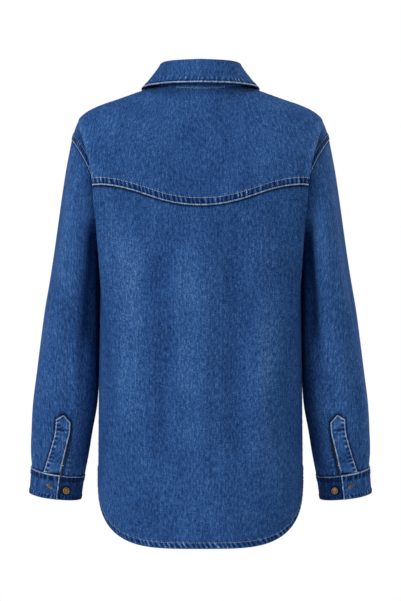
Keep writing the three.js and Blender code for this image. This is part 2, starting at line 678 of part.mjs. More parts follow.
// Cuffs
function cuffPoint(turn, down, out) {
  const [top, low] = cuffRings;
  const ring = Object.fromEntries(Object.keys(top).map((name) => [name, lerp(top[name], low[name], down)]));
  const point = ringPoint(ring, turn, 2.1);
  const middle = vector((ring.outX + ring.inX) / 2, ring.midY, point.z);
  return point.addScaledVector(point.clone().sub(middle).normalize(), out);
}
const cuffTurns = steps(cuffEdgeTurn, cuffEdgeTurn - 360 - cuffUnder, 30);
const cuffOut = (turn) => cuffLift * ease((turn - 40) / 40);
const cuffGrid = [0, 0.08, 0.5, 0.92, 1].map((down) => (
  cuffTurns.map((turn) => cuffPoint(turn, down, cuffOut(turn)))
));

// Collar stand and leaf: strips carried along the neck seam
function standPoint(turn, up, out) {
  const base = neckPoint(turn);
  const ahead = clamp((turn - 90) / 90);
  const rise = turn > 90
    ? lerp(standRise.side, standRise.front, ahead)
    : lerp(standRise.back, standRise.side, clamp(turn / 90) ** standRise.bend);
  const angle = radians(turn);
  const outward = vector(Math.sin(angle), Math.cos(angle), 0);
  const lean = vector(0, 0, 1).addScaledVector(outward, -standLean).normalize();
  if (turn > 90) lean.add(vector(0, 0.12 * ahead, 0)).normalize();
  base.z += seamGap + 0.8;
  return base.addScaledVector(lean, rise * up).addScaledVector(outward, out);
}
const halfTurn = 180;
const standEnd = halfTurn + standLapTurn;
const standTurns = steps(-standEnd, standEnd, 40);
// The right end lies over the left one at the centre front.
const overEnd = (turn) => {
  const past = -turn - halfTurn + 2 * standLapTurn;
  return turn < 0 ? overRise * ease(past / standLapTurn) : 0;
};
const signedStand = (turn, up) => {
  const point = standPoint(Math.abs(turn), up, overEnd(turn));
  point.x *= Math.sign(turn) || 1;
  return point;
};
const standGrid = [1, 0.66, 0.33, 0].map((up) => standTurns.map((turn) => signedStand(turn, up)));

function leafPoint(turn, down, over) {
  const start = standPoint(turn, 1, over);
  const angle = radians(turn);
  const outward = vector(Math.sin(angle), Math.cos(angle), 0);
  start.z += seamGap + 0.8;
  const edge = vector(
    read(leafEdge, "turn", turn, "x"),
    read(leafEdge, "turn", turn, "y"),
    read(leafEdge, "turn", turn, "z"),
  );
  const roll = start.clone().addScaledVector(outward, collarRoll);
  roll.z += collarRoll;
  if (down <= 0.25) {
    const bend = (down / 0.25) * (Math.PI / 2);
    const point = start.clone();
    point.addScaledVector(outward, collarRoll * (1 - Math.cos(bend)));
    point.z += collarRoll * Math.sin(bend);
    return point;
  }
  const fall = (down - 0.25) / 0.75;
  const control = roll.clone().addScaledVector(outward, leafPull.out);
  control.z -= leafPull.down;
  const a = (1 - fall) * (1 - fall);
  const b = 2 * fall * (1 - fall);
  return roll.multiplyScalar(a).addScaledVector(control, b).addScaledVector(edge, fall * fall);
}
const leafTurns = steps(-leafEndTurn, leafEndTurn, 36);
const leafDowns = [0, 0.125, 0.25, 0.45, 0.7, 0.9, 1];
const leafGrid = leafDowns.map((down) => leafTurns.map((turn) => {
  const point = leafPoint(Math.abs(turn), down, overEnd(turn));
  point.x *= Math.sign(turn) || 1;
  return point;
}));

add("collar_stand", wall(standGrid, doubled, 1), "denim");
add("collar_leaf", wall(leafGrid, doubled, 1), "denim");

// A tack button: a rimmed head with a dished middle, on a short neck
const buttonProfile = [
  [0, 0], [0.5, 0], [0.56, 0.14], [0.92, 0.26], [1, 0.5], [0.96, 0.86], [0.84, 1], [0.68, 0.9], [0, 0.78],
];
function buttonAt(name, point, normal) {
  const profile = buttonProfile.map(([r, h]) => new THREE.Vector2((r * buttonDiameter) / 2, h * buttonRise));
  const mesh = add(name, new THREE.LatheGeometry(profile, 14), "metal");
  mesh.position.copy(point).addScaledVector(normal, seamGap);
  mesh.quaternion.setFromUnitVectors(vector(0, 1, 0), normal);
}

// A place on a grid at a given height, between two of its columns, with the way it faces
function onGrid(grid, column, z) {
  const row = grid.findIndex((points, i) => i > 0 && points[column].z <= z);
  const share = (grid[row - 1][column].z - z) / (grid[row - 1][column].z - grid[row][column].z);
  const point = grid[row - 1][column].clone().lerp(grid[row][column], share);
  point.lerp(grid[row - 1][column + 1].clone().lerp(grid[row][column + 1], share), 0.5);
  const across = grid[row][column + 1].clone().sub(grid[row][column]);
  const normal = across.cross(grid[row][column].clone().sub(grid[row - 1][column])).normalize();
  return { point, normal };
}
frontButtonHeights.forEach((z, i) => {
  const place = onGrid(bandGrid, 1, z);
  buttonAt(`front_button_${i + 1}`, place.point, place.normal);
});
const standFace = signedStand(-halfTurn, 0.5);
const standSlope = signedStand(-halfTurn, 0.9).sub(signedStand(-halfTurn, 0.1));
const standNormal = vector(0, -standSlope.z, standSlope.y).normalize();
buttonAt("collar_button", standFace.addScaledVector(standNormal, seamGap), standNormal);

const plainSides = [
  { side: "left", sign: 1 },
  { side: "right", sign: -1 },
];
const onSide = (grid, sign) => (sign === 1 ? grid : mirrored(grid));
const tool = solidOf(slitTool());
const openSleeve = solidOf(wall(sleeveGrid, cloth, -1, true)).subtract(tool);
plainSides.forEach(({ side, sign }) => {
  const sleeve = geometryOf(openSleeve);
  if (sign === -1) {
    sleeve.scale(-1, 1, 1);
    sleeve.setIndex(turnOver([...sleeve.index.array]));
  }
  add(`sleeve_${side}`, sleeve, "denim");
  add(`cuff_${side}`, wall(onSide(cuffGrid, sign), doubled, sign), "denim");
  const strip = placketGrid(2 * seamGap + placket.thick);
  add(`sleeve_placket_${side}`, wall(onSide(strip, sign), placket.thick, -sign), "denim");
  const under = bindingGrid(seamGap + binding.thick);
  add(`placket_binding_${side}`, wall(onSide(under, sign), binding.thick, -sign), "denim");
  const seat = cuffPoint(cuffButton.turn, cuffButton.down, 0);
  const normal = cuffPoint(cuffButton.turn, cuffButton.down, 1).sub(seat);
  seat.x *= sign;
  normal.x *= sign;
  buttonAt(`cuff_button_${side}`, seat, normal.normalize());
});

export default shirt;
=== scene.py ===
# %% [markdown]
# # A denim shirt, seen from behind
# The shirt is filled out as if worn, with nobody in it. Its cloth is a set of thin shells that
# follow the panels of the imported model, sewn with real stitches, in a worn indigo twill.
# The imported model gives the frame: metres, Z up, the back of the shirt towards +Y.

import bpy
import numpy as np
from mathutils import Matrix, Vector


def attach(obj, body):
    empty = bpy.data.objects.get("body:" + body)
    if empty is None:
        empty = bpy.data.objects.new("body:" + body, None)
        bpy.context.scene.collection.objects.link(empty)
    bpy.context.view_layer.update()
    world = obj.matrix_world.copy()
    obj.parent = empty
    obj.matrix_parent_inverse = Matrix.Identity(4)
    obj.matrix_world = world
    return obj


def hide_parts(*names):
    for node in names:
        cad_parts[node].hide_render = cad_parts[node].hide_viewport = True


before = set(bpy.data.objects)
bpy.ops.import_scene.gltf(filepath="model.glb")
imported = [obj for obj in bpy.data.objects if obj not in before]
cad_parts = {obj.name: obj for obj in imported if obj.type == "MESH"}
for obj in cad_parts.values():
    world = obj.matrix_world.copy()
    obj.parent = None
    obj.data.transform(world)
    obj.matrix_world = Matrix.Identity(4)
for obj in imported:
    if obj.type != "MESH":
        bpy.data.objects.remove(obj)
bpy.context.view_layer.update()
MM = 0.001

# %% [markdown]
# ## Reading a shape from a short table
# A garment is drawn by a few measured places. Each table below names its columns and gives a row
# for each place; a smooth curve through the rows fills in the rest. Everything is in millimetres
# until it becomes a mesh.

# %% Small helpers
def lerp(a, b, t):
    """A straight mix: a at t = 0, b at t = 1."""
    return a + (b - a) * t


def ease(t):
    """A soft step from 0 to 1 with level ends."""
    t = np.clip(t, 0, 1)
    return t * t * (3 - 2 * t)


def bump(offset, width):
    """A bell curve, 1 at offset 0 and nearly 0 past twice the width."""
    return np.exp(-((offset / width) ** 2))


def place(x, y, z):
    """Three coordinates of any shapes, joined as points."""
    return np.stack(np.broadcast_arrays(x, y, z), axis=-1).astype(float)


def unit(v):
    """Vectors shortened to length one."""
    return v / np.maximum(np.linalg.norm(v, axis=-1, keepdims=True), 1e-12)


def read(table, at):
    """Values of a table at any key: between two rows a cubic curve whose slope at a row is
    that of the line from the row before it to the row after it."""
    rows = np.asarray(table, float)
    rows = rows[::-1] if rows[0, 0] > rows[-1, 0] else rows
    key, values = rows[:, 0], rows[:, 1:]
    slope = np.empty_like(values)
    slope[1:-1] = (values[2:] - values[:-2]) / (key[2:] - key[:-2])[:, None]
    slope[0] = (values[1] - values[0]) / (key[1] - key[0])
    slope[-1] = (values[-1] - values[-2]) / (key[-1] - key[-2])
    at = np.asarray(at, float)
    i = np.clip(np.searchsorted(key, at) - 1, 0, len(key) - 2)
    step = (key[i + 1] - key[i])[..., None]
    t = np.clip((at - key[i])[..., None] / step, 0, 1)
    ends = lerp(values[i], values[i + 1], t * t * (3 - 2 * t))
    bend = (t**3 - 2 * t * t + t) * step * slope[i] + (t**3 - t * t) * step * slope[i + 1]
    return ends + bend


def soft_noise(x, seed, size):
    """Smooth noise along a line: random heights every size, joined by soft steps."""
    heights = np.random.default_rng(seed).uniform(-1, 1, 997)
    i = np.floor(x / size).astype(int)
    return lerp(heights[i % 997], heights[(i + 1) % 997], ease(x / size - i))


def spread(length, fine_start, fine_end, fine, coarse):
    """Shares from 0 to 1 along a length: fine steps near each end, coarse ones between."""
    start = np.arange(0, fine_start, fine)
    end = length - np.arange(0, fine_end, fine)[::-1]
    first = fine_start if fine_start else 0
    last = length - fine_end if fine_end else length
    count = max(2, int((last - first) / coarse))
    middle = np.linspace(first, last, count + 1)
    return np.unique(np.round(np.concatenate([start, middle, end]) / length, 6))


# %% [markdown]
# ## The trunk of the shirt
# Body, yoke and fronts are one closed surface cut by seams. Around each height it is a rounded
# box (a superellipse), whose width and depth come from a table. Above the chest the columns
# bend over the shoulder as quarter ellipses, so that the yoke meets the fronts on top.
# An armhole is a leaning loop, and the girth is drawn sideways until it ends on it.

# %% Sizes of the trunk
NECK = {"half_width": 70, "half_depth": 62, "back_z": 2, "side_z": 10, "front_z": -62}
YOKE_FRONT = {"neck": -6, "armhole": -22}
ARMHOLE = {"top_x": 199, "top_z": -74, "low_x": 155.5, "low_z": -232, "half_depth": 78, "scoop": 20}
SHOULDER = [  # share of the way out, x, z
    (0, 70, 10), (0.2, 96, 1), (0.42, 127, -10), (0.66, 160, -21.8),
    (0.8, 180.5, -33.4), (0.9, 190.5, -48), (1, 199, -74),
]
GIRTH = [  # z, half width, depth behind, depth in front, squareness
    (-147, 165, 117, 113, 3.8), (-190, 159, 119.5, 120, 3.3), (-232, 155.5, 119, 123, 3),
    (-330, 155.6, 115, 120, 2.7), (-480, 157, 113, 115, 2.6), (-700, 158.5, 118, 114, 2.5),
]
YOKE_SEAM = {"side_z": -146.2, "dip": 33.5, "end_power": 18}
CHEST = {"side_z": -153, "centre_z": -196}
UNDERARM_Z = -236
BACK_HEM = {"centre_z": -693, "corner_rise": 75, "side_rise": 34}
FRONT_HEM = {"centre_z": -672, "corner_rise": 56, "side_rise": 32}
NECK_SHARE, SEAM_GAP, LAP_RISE, CLOTH = 0.4, 0.3, 0.8, 1.3
BACK_FOLDS = [  # turn from the spine, width, height, top z, low z, drift
    (46, 9, 5, -150, -560, 3), (28, 7, -5, -190, -640, 2), (3, 11, 4, -200, -600, -3),
    (-24, 8, -4.5, -180, -620, -2), (-41, 9, 4.5, -170, -590, -2),
]
SOFT_FOLDS = [(-59, 6, -3, -190, -560, -2), (64, 5, -2.5, -200, -520, 1), (15, 5, 1.5, -230, -500, -4), (-12, 5, -1.5, -260, -600, 3)]
FRONT_FOLDS = [(34, 9, 4.5, -170, -560, 4), (52, 8, -4.5, -200, -610, 3), (68, 8, 3, -240, -560, 1)]
SHOULDER_FOLDS = [  # share across, width, height, from, to
    (0.34, 0.12, 2, 0.35, 1.5), (-0.42, 0.12, 2, 0.35, 1.5),
]
YOKE_CREASES = [  # share across at the top, drift on the way down, width, height, from, to
    (0.895, 0.045, 0.022, 5, 0.12, 1.4), (0.95, 0.025, 0.018, -5.5, 0.3, 1.3),
]
CORNER = {"turn": 61, "width": 11, "outer_width": 6, "back_share": 0.25, "armhole_power": 16}
CORNER_REACH = [  # z, how far the back bulges sideways over the arm
    (-20, 0), (-50, 0.5), (-83, 4.5), (-126, 9.5), (-150, 13.5), (-171, 16.5), (-217, 16),
    (-247, 16.5), (-292, 16), (-353, 10), (-415, 3), (-480, 0),
]


# %% The surface of the trunk
def neck_point(turn):
    """The neck seam: an ellipse by the turn from the spine, higher at the sides, low in front."""
    a = np.radians(turn)
    behind, ahead = np.maximum(0, np.cos(a)), np.maximum(0, -np.cos(a))
    rise = lerp(NECK["back_z"], NECK["side_z"], 1 - behind**2)
    drop = (NECK["side_z"] - NECK["front_z"]) * ahead**2
    return place(NECK["half_width"] * np.sin(a), NECK["half_depth"] * np.cos(a), rise - drop)


def armhole_point(turn):
    """The armhole: an ellipse in a leaning plane, drawn in towards the spine at its middle."""
    a = np.radians(turn)
    lean_x = (ARMHOLE["top_x"] - ARMHOLE["low_x"]) / 2
    lean_z = (ARMHOLE["top_z"] - ARMHOLE["low_z"]) / 2
    x = ARMHOLE["low_x"] + lean_x * (1 + np.cos(a)) - ARMHOLE["scoop"] * np.sin(a) ** 2
    return place(x, ARMHOLE["half_depth"] * np.sin(a), ARMHOLE["low_z"] + lean_z * (1 + np.cos(a)))


def girth_point(face, turn, z):
    """A rounded box: the radius at which (x/width)^n + (y/depth)^n is one."""
    half, back, front, square = np.moveaxis(read(GIRTH, z), -1, 0)
    a = np.radians(turn)
    depth = back if face == 1 else front
    total = np.abs(np.sin(a) / half) ** square + np.abs(np.cos(a) / depth) ** square
    radius = total ** (-1 / square)
    return place(radius * np.sin(a), face * radius * np.cos(a), z)


def turn_of(p):
    """The turn of a point from the middle line, in degrees."""
    return np.degrees(np.arctan2(p[..., 0], np.abs(p[..., 1])))


def bind_to_armhole(point, edge, face, share):
    """Moves a column's points sideways by share^6 of what the girth misses the armhole by."""
    miss = edge - girth_point(face, turn_of(edge), edge[..., 2])
    return point + miss * (share**6)[..., None]


CHEST_TURN = float(turn_of(armhole_point(90)))


def seam_point(face, share):
    """The yoke seam behind, or the chest line in front: level at the armhole, a wave lower inside."""
    level = girth_point(face, share * CHEST_TURN, YOKE_SEAM["side_z"] + 0 * share)
    across = np.minimum(1, level[..., 0] / armhole_point(90)[0])
    wave = (1 + np.cos(np.pi * across**1.1)) / 2
    side, dip = YOKE_SEAM["side_z"], YOKE_SEAM["dip"]
    if face == -1:
        side, dip = CHEST["side_z"], CHEST["side_z"] - CHEST["centre_z"]
    turn_down = (armhole_point(90)[2] - side) * share ** YOKE_SEAM["end_power"]
    point = girth_point(face, share * CHEST_TURN, side - dip * wave + turn_down)
    return bind_to_armhole(point, armhole_point(face * 90), face, share)


LEAN = (ARMHOLE["top_x"] - ARMHOLE["low_x"]) / 2
SCOOP_SHARE = LEAN / (LEAN + ARMHOLE["scoop"])


def slope_point(low, top, sine, cosine):
    """A quarter ellipse from a level top to an upright low end."""
    inward = SCOOP_SHARE * cosine + (1 - SCOOP_SHARE) * cosine**2
    x = low[..., 0] + (top[..., 0] - low[..., 0]) * inward
    return place(x, low[..., 1] * sine, low[..., 2] + (top[..., 2] - low[..., 2]) * cosine)


def slope_top(low, start):
    """The top of the quarter ellipse that passes through a start, and the start's sine."""
    sine = start[..., 1] / low[..., 1]
    cosine = np.sqrt(1 - sine**2)
    inward = SCOOP_SHARE * cosine + (1 - SCOOP_SHARE) * cosine**2
    x = low[..., 0] + (start[..., 0] - low[..., 0]) / inward
    return place(x, 0, low[..., 2] + (start[..., 2] - low[..., 2]) / cosine), sine


NECK_END = np.degrees(np.arccos(YOKE_FRONT["neck"] / NECK["half_depth"]))
ARMHOLE_FRONT = np.degrees(np.arcsin(YOKE_FRONT["armhole"] / ARMHOLE["half_depth"]))


def yoke_front_edge(share):
    """The yoke's front edge over the shoulder, from the neck out to the armhole."""
    low = seam_point(1, share)
    outward = np.clip((share - NECK_SHARE) / (1 - NECK_SHARE), 0, 1)
    sine = lerp(YOKE_FRONT["neck"], YOKE_FRONT["armhole"], outward) / low[..., 1]
    x, z = np.moveaxis(read(SHOULDER, outward), -1, 0)
    return slope_point(low, place(x, 0, z), sine, np.sqrt(1 - sine**2))


NECK_MISS = neck_point(NECK_END) - yoke_front_edge(np.array(NECK_SHARE))


def slope_start(share):
    """Where a column starts: on the neck seam, or on the yoke's front edge."""
    on_neck = neck_point(share / NECK_SHARE * NECK_END)
    inward = 1 - (share - NECK_SHARE) / (1 - NECK_SHARE)
    over = yoke_front_edge(share) + NECK_MISS * (np.clip(inward, 0, 1) ** 4)[..., None]
    return np.where((share < NECK_SHARE)[..., None], on_neck, over)


def lift_shoulder(point, signed_share, along):
    """Folds of the upper back, pushed outwards, faded to nothing at the armhole."""
    lift = 0
    for at, width, height, start, end in SHOULDER_FOLDS:
        strength = ease((along - start) / 0.4) * (1 - ease((along - end + 0.6) / 0.6))
        lift = lift + height * bump(signed_share - at, width) * strength
    outward = unit(point * [1, 1, 0])
    return point + outward * (lift * (1 - np.abs(signed_share) ** 12))[..., None]


def crease_lift(share, down):
    """The height of a narrow ridge and a trough beside the armhole, which hold the yoke's fullness."""
    lift = 0
    for at, drift, width, height, start, end in YOKE_CREASES:
        strength = ease((down - start) / 0.25) * (1 - ease((down - end + 0.3) / 0.3))
        lift = lift + height * bump(share - at - drift * down, width) * strength
    return lift * (1 - share**40)


def push_corner(point, turn, share):
    """The fullest fold: a bell across the turn pushes the back sideways, never at the armhole."""
    away = turn - CORNER["turn"]
    bell = bump(away, np.where(away > 0, CORNER["outer_width"], CORNER["width"]))
    reach = read(CORNER_REACH, np.clip(point[..., 2], -480, -20))[..., 0]
    reach = reach * bell * (1 - share ** CORNER["armhole_power"])
    return point + place(reach, CORNER["back_share"] * reach, 0)


def mirror_by(signed_share, point):
    """Puts a column of the left half on its own side."""
    return point * place(np.where(signed_share < 0, -1, 1), 1, 1)


def yoke_point(signed_share, down):
    """The yoke: down is 0 at the neck or front edge and 1 at the yoke seam."""
    share = np.abs(signed_share)
    low = seam_point(1, share)
    top, sine = slope_top(low, slope_start(share))
    angle = lerp(np.arcsin(sine), np.pi / 2, down)
    point = slope_point(low, top, np.sin(angle), np.cos(angle))
    point = lift_shoulder(point, signed_share, down)
    point = point + unit(point * [1, 1, 0]) * crease_lift(share, down)[..., None]
    point = push_corner(point, share * CHEST_TURN, share)
    return mirror_by(signed_share, point)


def chest_point(signed_share, down):
    """The front's upper part: down is 0 at the neck or yoke and 1 at the chest line."""
    share = np.abs(signed_share)
    low = seam_point(-1, share)
    on_neck = neck_point(lerp(180, NECK_END, np.minimum(1, share / NECK_SHARE)))
    start = np.where((share >= NECK_SHARE)[..., None], slope_start(share), on_neck)
    top, sine = slope_top(low, start)
    angle = lerp(np.arcsin(sine), np.pi / 2, down)
    return mirror_by(signed_share, slope_point(low, top, np.sin(angle), np.cos(angle)))


def armhole_edge(face, down):
    """The lower half of the armhole, kept just clear of the side seam."""
    edge = armhole_point(face * (90 + 90 * down))
    edge[..., 1] = face * np.maximum(SEAM_GAP, np.abs(edge[..., 1]))
    return edge


SIDE_TURN = float(turn_of(np.array([ARMHOLE["low_x"], SEAM_GAP, 0.0])))


def side_point(face, signed_share, down):
    """The panel beside the armhole: down is 0 at the seam and 1 at the underarm."""
    share = np.abs(signed_share)
    edge = armhole_edge(face, down)
    drop = lerp(down, np.sin(np.pi / 2 * down), share**6)
    level = lerp(UNDERARM_Z, ARMHOLE["low_z"], share**2)
    z = lerp(seam_point(face, share)[..., 2], level, drop)
    point = bind_to_armhole(girth_point(face, share * turn_of(edge), z), edge, face, share)
    if face == 1:
        point = lift_shoulder(point, signed_share, 1 + down)
        point = push_corner(point, share * turn_of(edge), share)
    return mirror_by(signed_share, point)


def hem_z(hem, face, share):
    """The shirt tail: a rounded corner plus a short rise into the side seam."""
    point = girth_point(face, share * 90, hem["centre_z"] + hem["corner_rise"] + 0 * share)
    size = read(GIRTH, hem["centre_z"])
    across = np.minimum(1, point[..., 0] / size[0])
    corner = 1 - (1 - across**4.1) ** (1 / 1.8)
    side = np.clip(1 - np.abs(point[..., 1]) / size[1 if face == 1 else 2], 0, 1) ** 4
    return hem["centre_z"] + hem["corner_rise"] * corner + hem["side_rise"] * side


def hang_point(face, signed_share, down):
    """The hanging part: down is 0 at the underarm and 1 at the hem."""
    share = np.abs(signed_share)
    level = lerp(UNDERARM_Z, ARMHOLE["low_z"], share**2)
    z = lerp(level, hem_z(BACK_HEM if face == 1 else FRONT_HEM, face, share), down)
    point = girth_point(face, share * SIDE_TURN, z)
    if face == 1:
        point = push_corner(point, share * SIDE_TURN, 0)
    return mirror_by(signed_share, point)


def fold_lift(point, folds, turn):
    """Hanging folds: bells across the turn, eased in and out along their height."""
    lift = 0
    for at, width, height, top, low, drift in folds:
        along = (top - point[..., 2]) / (top - low)
        strength = ease(along / 0.25) * (1 - ease((along - 0.7) / 0.4))
        lift = lift + height * strength * bump(turn - at - drift * along, width)
    return lift


def fold_body(point, folds, turn):
    """Pushes points straight out from the upright middle line by their folds."""
    return point + unit(point * [1, 1, 0]) * fold_lift(point, folds, turn)[..., None]


def hanging_panel(face, shares, side_downs, hang_downs, folds):
    """The rows of a panel from the chest or yoke seam down to the hem."""
    s, d = np.meshgrid(shares, side_downs)
    side = fold_body(side_point(face, s, d), folds, s * turn_of(armhole_edge(face, d)))
    s, d = np.meshgrid(shares, hang_downs)
    hang = fold_body(hang_point(face, s, d), folds, s * 90)
    return np.concatenate([side, hang])


# %% [markdown]
# ## From a grid of points to cloth
# A piece of cloth is a grid: rows run down the garment, columns run across it. From the grid come
# the way it faces, the distance of every point from each edge, and the length along each edge.
# Relief such as seams, roping and creases is a height over the grid. The shell then gets its
# real thickness, an inner side, and closed rims. Solidify could do it, but here the inner side
# stays smooth where the outer one is puckered, as in doubled cloth.

# %% Measuring a grid
def facing_of(grid, side):
    """Normals: the cross product of the way along the row and the way down the column."""
    along = np.empty_like(grid)
    along[:, 1:-1] = grid[:, 2:] - grid[:, :-2]
    along[:, 0], along[:, -1] = grid[:, 1] - grid[:, 0], grid[:, -1] - grid[:, -2]
    down = np.empty_like(grid)
    down[1:-1] = grid[2:] - grid[:-2]
    down[0], down[-1] = grid[1] - grid[0], grid[-1] - grid[-2]
    return side * unit(np.cross(along, down))


def run_across(grid):
    """Length along each row, from its first column."""
    steps = np.linalg.norm(np.diff(grid, axis=1), axis=-1)
    return np.concatenate([np.zeros((len(grid), 1)), np.cumsum(steps, axis=1)], axis=1)


def run_down(grid):
    """Length down each column, from its first row."""
    return run_across(grid.swapaxes(0, 1)).T


def edge_lengths(grid):
    """For each edge, every point's distance from it and its place along it."""
    across, down = run_across(grid), run_down(grid)
    whole = np.ones_like(across)
    return {
        "top": (down, across[:1] * whole),
        "bottom": (down[-1:] - down, across[-1:] * whole),
        "start": (across, down[:, :1] * whole),
        "end": (across[:, -1:] - across, down[:, -1:] * whole),
    }


def cloth_map(grid):
    """The cloth's own flat coordinates: across from the middle column, down from the top."""
    across, down = run_across(grid), run_down(grid)
    middle = across[:, across.shape[1] // 2][:, None]
    return np.stack([across - middle, -down], axis=-1) * MM


# %% [markdown]
# ## Seams that rope
# A sewn lap shrinks a little in the wash and pulls the cloth into slanted ridges, called roping.
# The ridges rub pale while the hollows between them stay dark. One formula gives both: the
# height of the ridges, and a wear_and_shade value that the denim's colour reads at every point.
# The same value also holds painted shade: a dark line where a lap lies over an edge, and a
# painted dark line just inside a rubbed edge.

# %% Roping
def roping(along, inward, depth, pitch, lean, seed):
    """Slanted ridges: a raised cosine along the seam, moved by noise, between edge and stitches."""
    drift = 0.3 * soft_noise(along, seed, pitch * 1.7) + 0.18 * soft_noise(along, seed + 7, pitch)
    phase = (along + lean * (inward - depth / 2)) / pitch + drift
    ridge = (0.5 + 0.5 * np.cos(2 * np.pi * phase)) ** 1.7
    strength = 0.72 + 0.28 * soft_noise(along, seed + 3, pitch * 1.3)
    return ridge * strength


def seam_finish(grid, seams):
    """Relief in millimetres, and wear with painted shade from -1, dark, to 1, rubbed pale, for all the seams."""
    edges = edge_lengths(grid)
    relief = np.zeros(grid.shape[:2])
    wear_and_shade = np.zeros(grid.shape[:2])
    for number, seam in enumerate(seams):
        inward, along = edges[seam["edge"]]
        only = seam.get("only", 1.0)
        depth = seam.get("depth", 0)
        if depth:
            ridges = roping(along, inward, depth, seam.get("pitch", 6.6), seam.get("lean", 0.35), number + seam.get("seed", 1))
            band = ease(inward / 1.2) * (1 - ease((inward - depth + 0.6) / 2.2))
            beyond = ease((inward - depth + 1) / 2) * (1 - ease((inward - depth) / 7))
            force = seam.get("force", 1.0)
            relief += only * force * ridges * (0.75 * band + 0.3 * beyond)
            bias = seam.get("bias", -0.62)
            wear_and_shade += only * force * (np.minimum(0.5, 1.3 * ridges + bias) * band + (0.4 * ridges - 0.1) * beyond)
        rise = seam.get("rise", 0) * seam.get("rise_fade", 1.0)
        relief += only * rise * (1 - ease((inward - depth - 0.5) / 2.5))
        pale = 0.85 + 0.15 * soft_noise(along, number + 40, 3.0)
        line = 1 - ease((inward - seam.get("line", 0.9)) / 1.2)
        wear_and_shade += only * line * (seam.get("edge_wear", 0) * pale - wear_and_shade * (seam.get("edge_wear", 0) > 0))
        # painted shade: the groove value darkens a line just inside the rubbed edge
        wear_and_shade -= only * seam.get("groove", 0) * bump(inward - seam.get("line", 0.9) - 2.1, 0.9)
        relief += only * seam.get("bead", 0) * bump(inward - 0.8, 0.9)
        # painted shadow: a dark line where another piece laps over this edge
        wear_and_shade -= only * seam.get("shade", 0) * bump(inward, 2.2)
    return relief, wear_and_shade


# %% Making a shell
def mesh_piece(name, points, faces, material, smooth=None, corner_uv=None, values=None):
    """Puts points in millimetres and faces into a mesh, with its own map and named values."""
    used, faces_flat = np.unique(faces, return_inverse=True)
    mesh = bpy.data.meshes.new(name)
    mesh.from_pydata(points[used] * MM, [], faces_flat.reshape(faces.shape).tolist())
    smooth = np.ones(len(faces), bool) if smooth is None else smooth
    mesh.polygons.foreach_set("use_smooth", smooth)
    if corner_uv is not None:
        layer = mesh.uv_layers.new(name="Cloth")
        layer.uv.foreach_set("vector", corner_uv.reshape(-1).astype(np.float32))
    for key, value in (values or {}).items():
        data = mesh.attributes.new(key, "FLOAT", "POINT").data
        data.foreach_set("value", value[used].astype(np.float32))
    mesh.materials.append(material)
    piece = bpy.data.objects.new(name, mesh)
    bpy.context.scene.collection.objects.link(piece)
    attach(piece, "root")
    return piece


def shell(name, grid, thick, side, material, relief=0.0, wear_and_shade=0.0, joined_rows=None):
    """A cloth shell: the outer side is the grid raised by the relief, the inner side is the grid
    moved in by the thickness, and quads close the rims. joined_rows weld first and last column."""
    rows, columns = grid.shape[:2]
    normal = facing_of(grid, side)
    outer = grid + normal * np.broadcast_to(relief, (rows, columns))[..., None]
    inner = grid - normal * np.broadcast_to(thick, (rows, columns))[..., None]
    if joined_rows is not None:
        for layer in (outer, inner):
            middle = (layer[joined_rows, 0] + layer[joined_rows, -1]) / 2
            layer[joined_rows, 0] = layer[joined_rows, -1] = middle
    count = rows * columns
    index = np.arange(count).reshape(rows, columns)
    a, b = index[:-1, :-1].ravel(), index[:-1, 1:].ravel()
    c, d = index[1:, 1:].ravel(), index[1:, :-1].ravel()
    first, last = index[0], index[-1]
    left, right = index[:, 0], index[:, -1]
    open_side = np.ones(rows - 1, bool)
    if joined_rows is not None:
        open_side = ~(joined_rows[:-1] & joined_rows[1:])
    up, lo = left[:-1][open_side], left[1:][open_side]
    ur, lr = right[:-1][open_side], right[1:][open_side]
    quads = [
        np.stack([a, b, c, d], 1),
        np.stack([d, c, b, a], 1) + count,
        np.stack([first[1:], first[:-1], first[:-1] + count, first[1:] + count], 1),
        np.stack([last[:-1], last[1:], last[1:] + count, last[:-1] + count], 1),
        np.stack([up, lo, lo + count, up + count], 1),
        np.stack([lr, ur, ur + count, lr + count], 1),
    ]
    faces = np.concatenate(quads)
    smooth = np.arange(len(faces)) < 2 * len(a)
    faces = faces if side == 1 else faces[:, ::-1]
    flat = np.tile(cloth_map(grid).reshape(-1, 2), (2, 1))
    corner_uv = flat[faces]
    if joined_rows is not None:
        weld = np.arange(2 * count)
        ends = index[joined_rows, -1]
        weld[ends], weld[ends + count] = index[joined_rows, 0], index[joined_rows, 0] + count
        faces = weld[faces]
    wear_and_shade = np.broadcast_to(wear_and_shade, (rows, columns)).ravel()
    values = {
        "wear_and_shade": np.concatenate([wear_and_shade, wear_and_shade * 0.3]),
        "inside": np.repeat([0.0, 1.0], count),
    }
    points = np.concatenate([outer, inner]).reshape(-1, 3)
    piece = mesh_piece(name, points, faces, material, smooth, corner_uv, values)
    print(name, "faces", len(faces))
    return piece, outer


# %% [markdown]
# ## Stitches
# A topstitch is a row of short, thick threads that dive into the cloth at both ends. Each one is
# a small capsule laid on the raised surface, so that a row shows as separate stitches close up
# and as a pale line from afar. All the stitches of one piece are one joined mesh.

# %% Laying stitches along an edge
STITCH = {"pitch": 3.4, "length": 2.9, "radius": 0.42}


def row_at(outer, normal, inward, distance, edge):
    """The line on a surface at a given distance from an edge, as points and normals."""
    if edge in ("top", "bottom"):
        inward, outer, normal = inward.T, outer.swapaxes(0, 1), normal.swapaxes(0, 1)
    if edge in ("bottom", "end"):
        inward, outer, normal = inward[:, ::-1], outer[:, ::-1], normal[:, ::-1]
    after = np.maximum(1, np.argmax(inward >= distance, axis=1))
    line = np.arange(len(inward))
    low, high = inward[line, after - 1], inward[line, after]
    t = ((distance - low) / np.maximum(high - low, 1e-9))[:, None]
    return lerp(outer[line, after - 1], outer[line, after], t), unit(
        lerp(normal[line, after - 1], normal[line, after], t)
    )


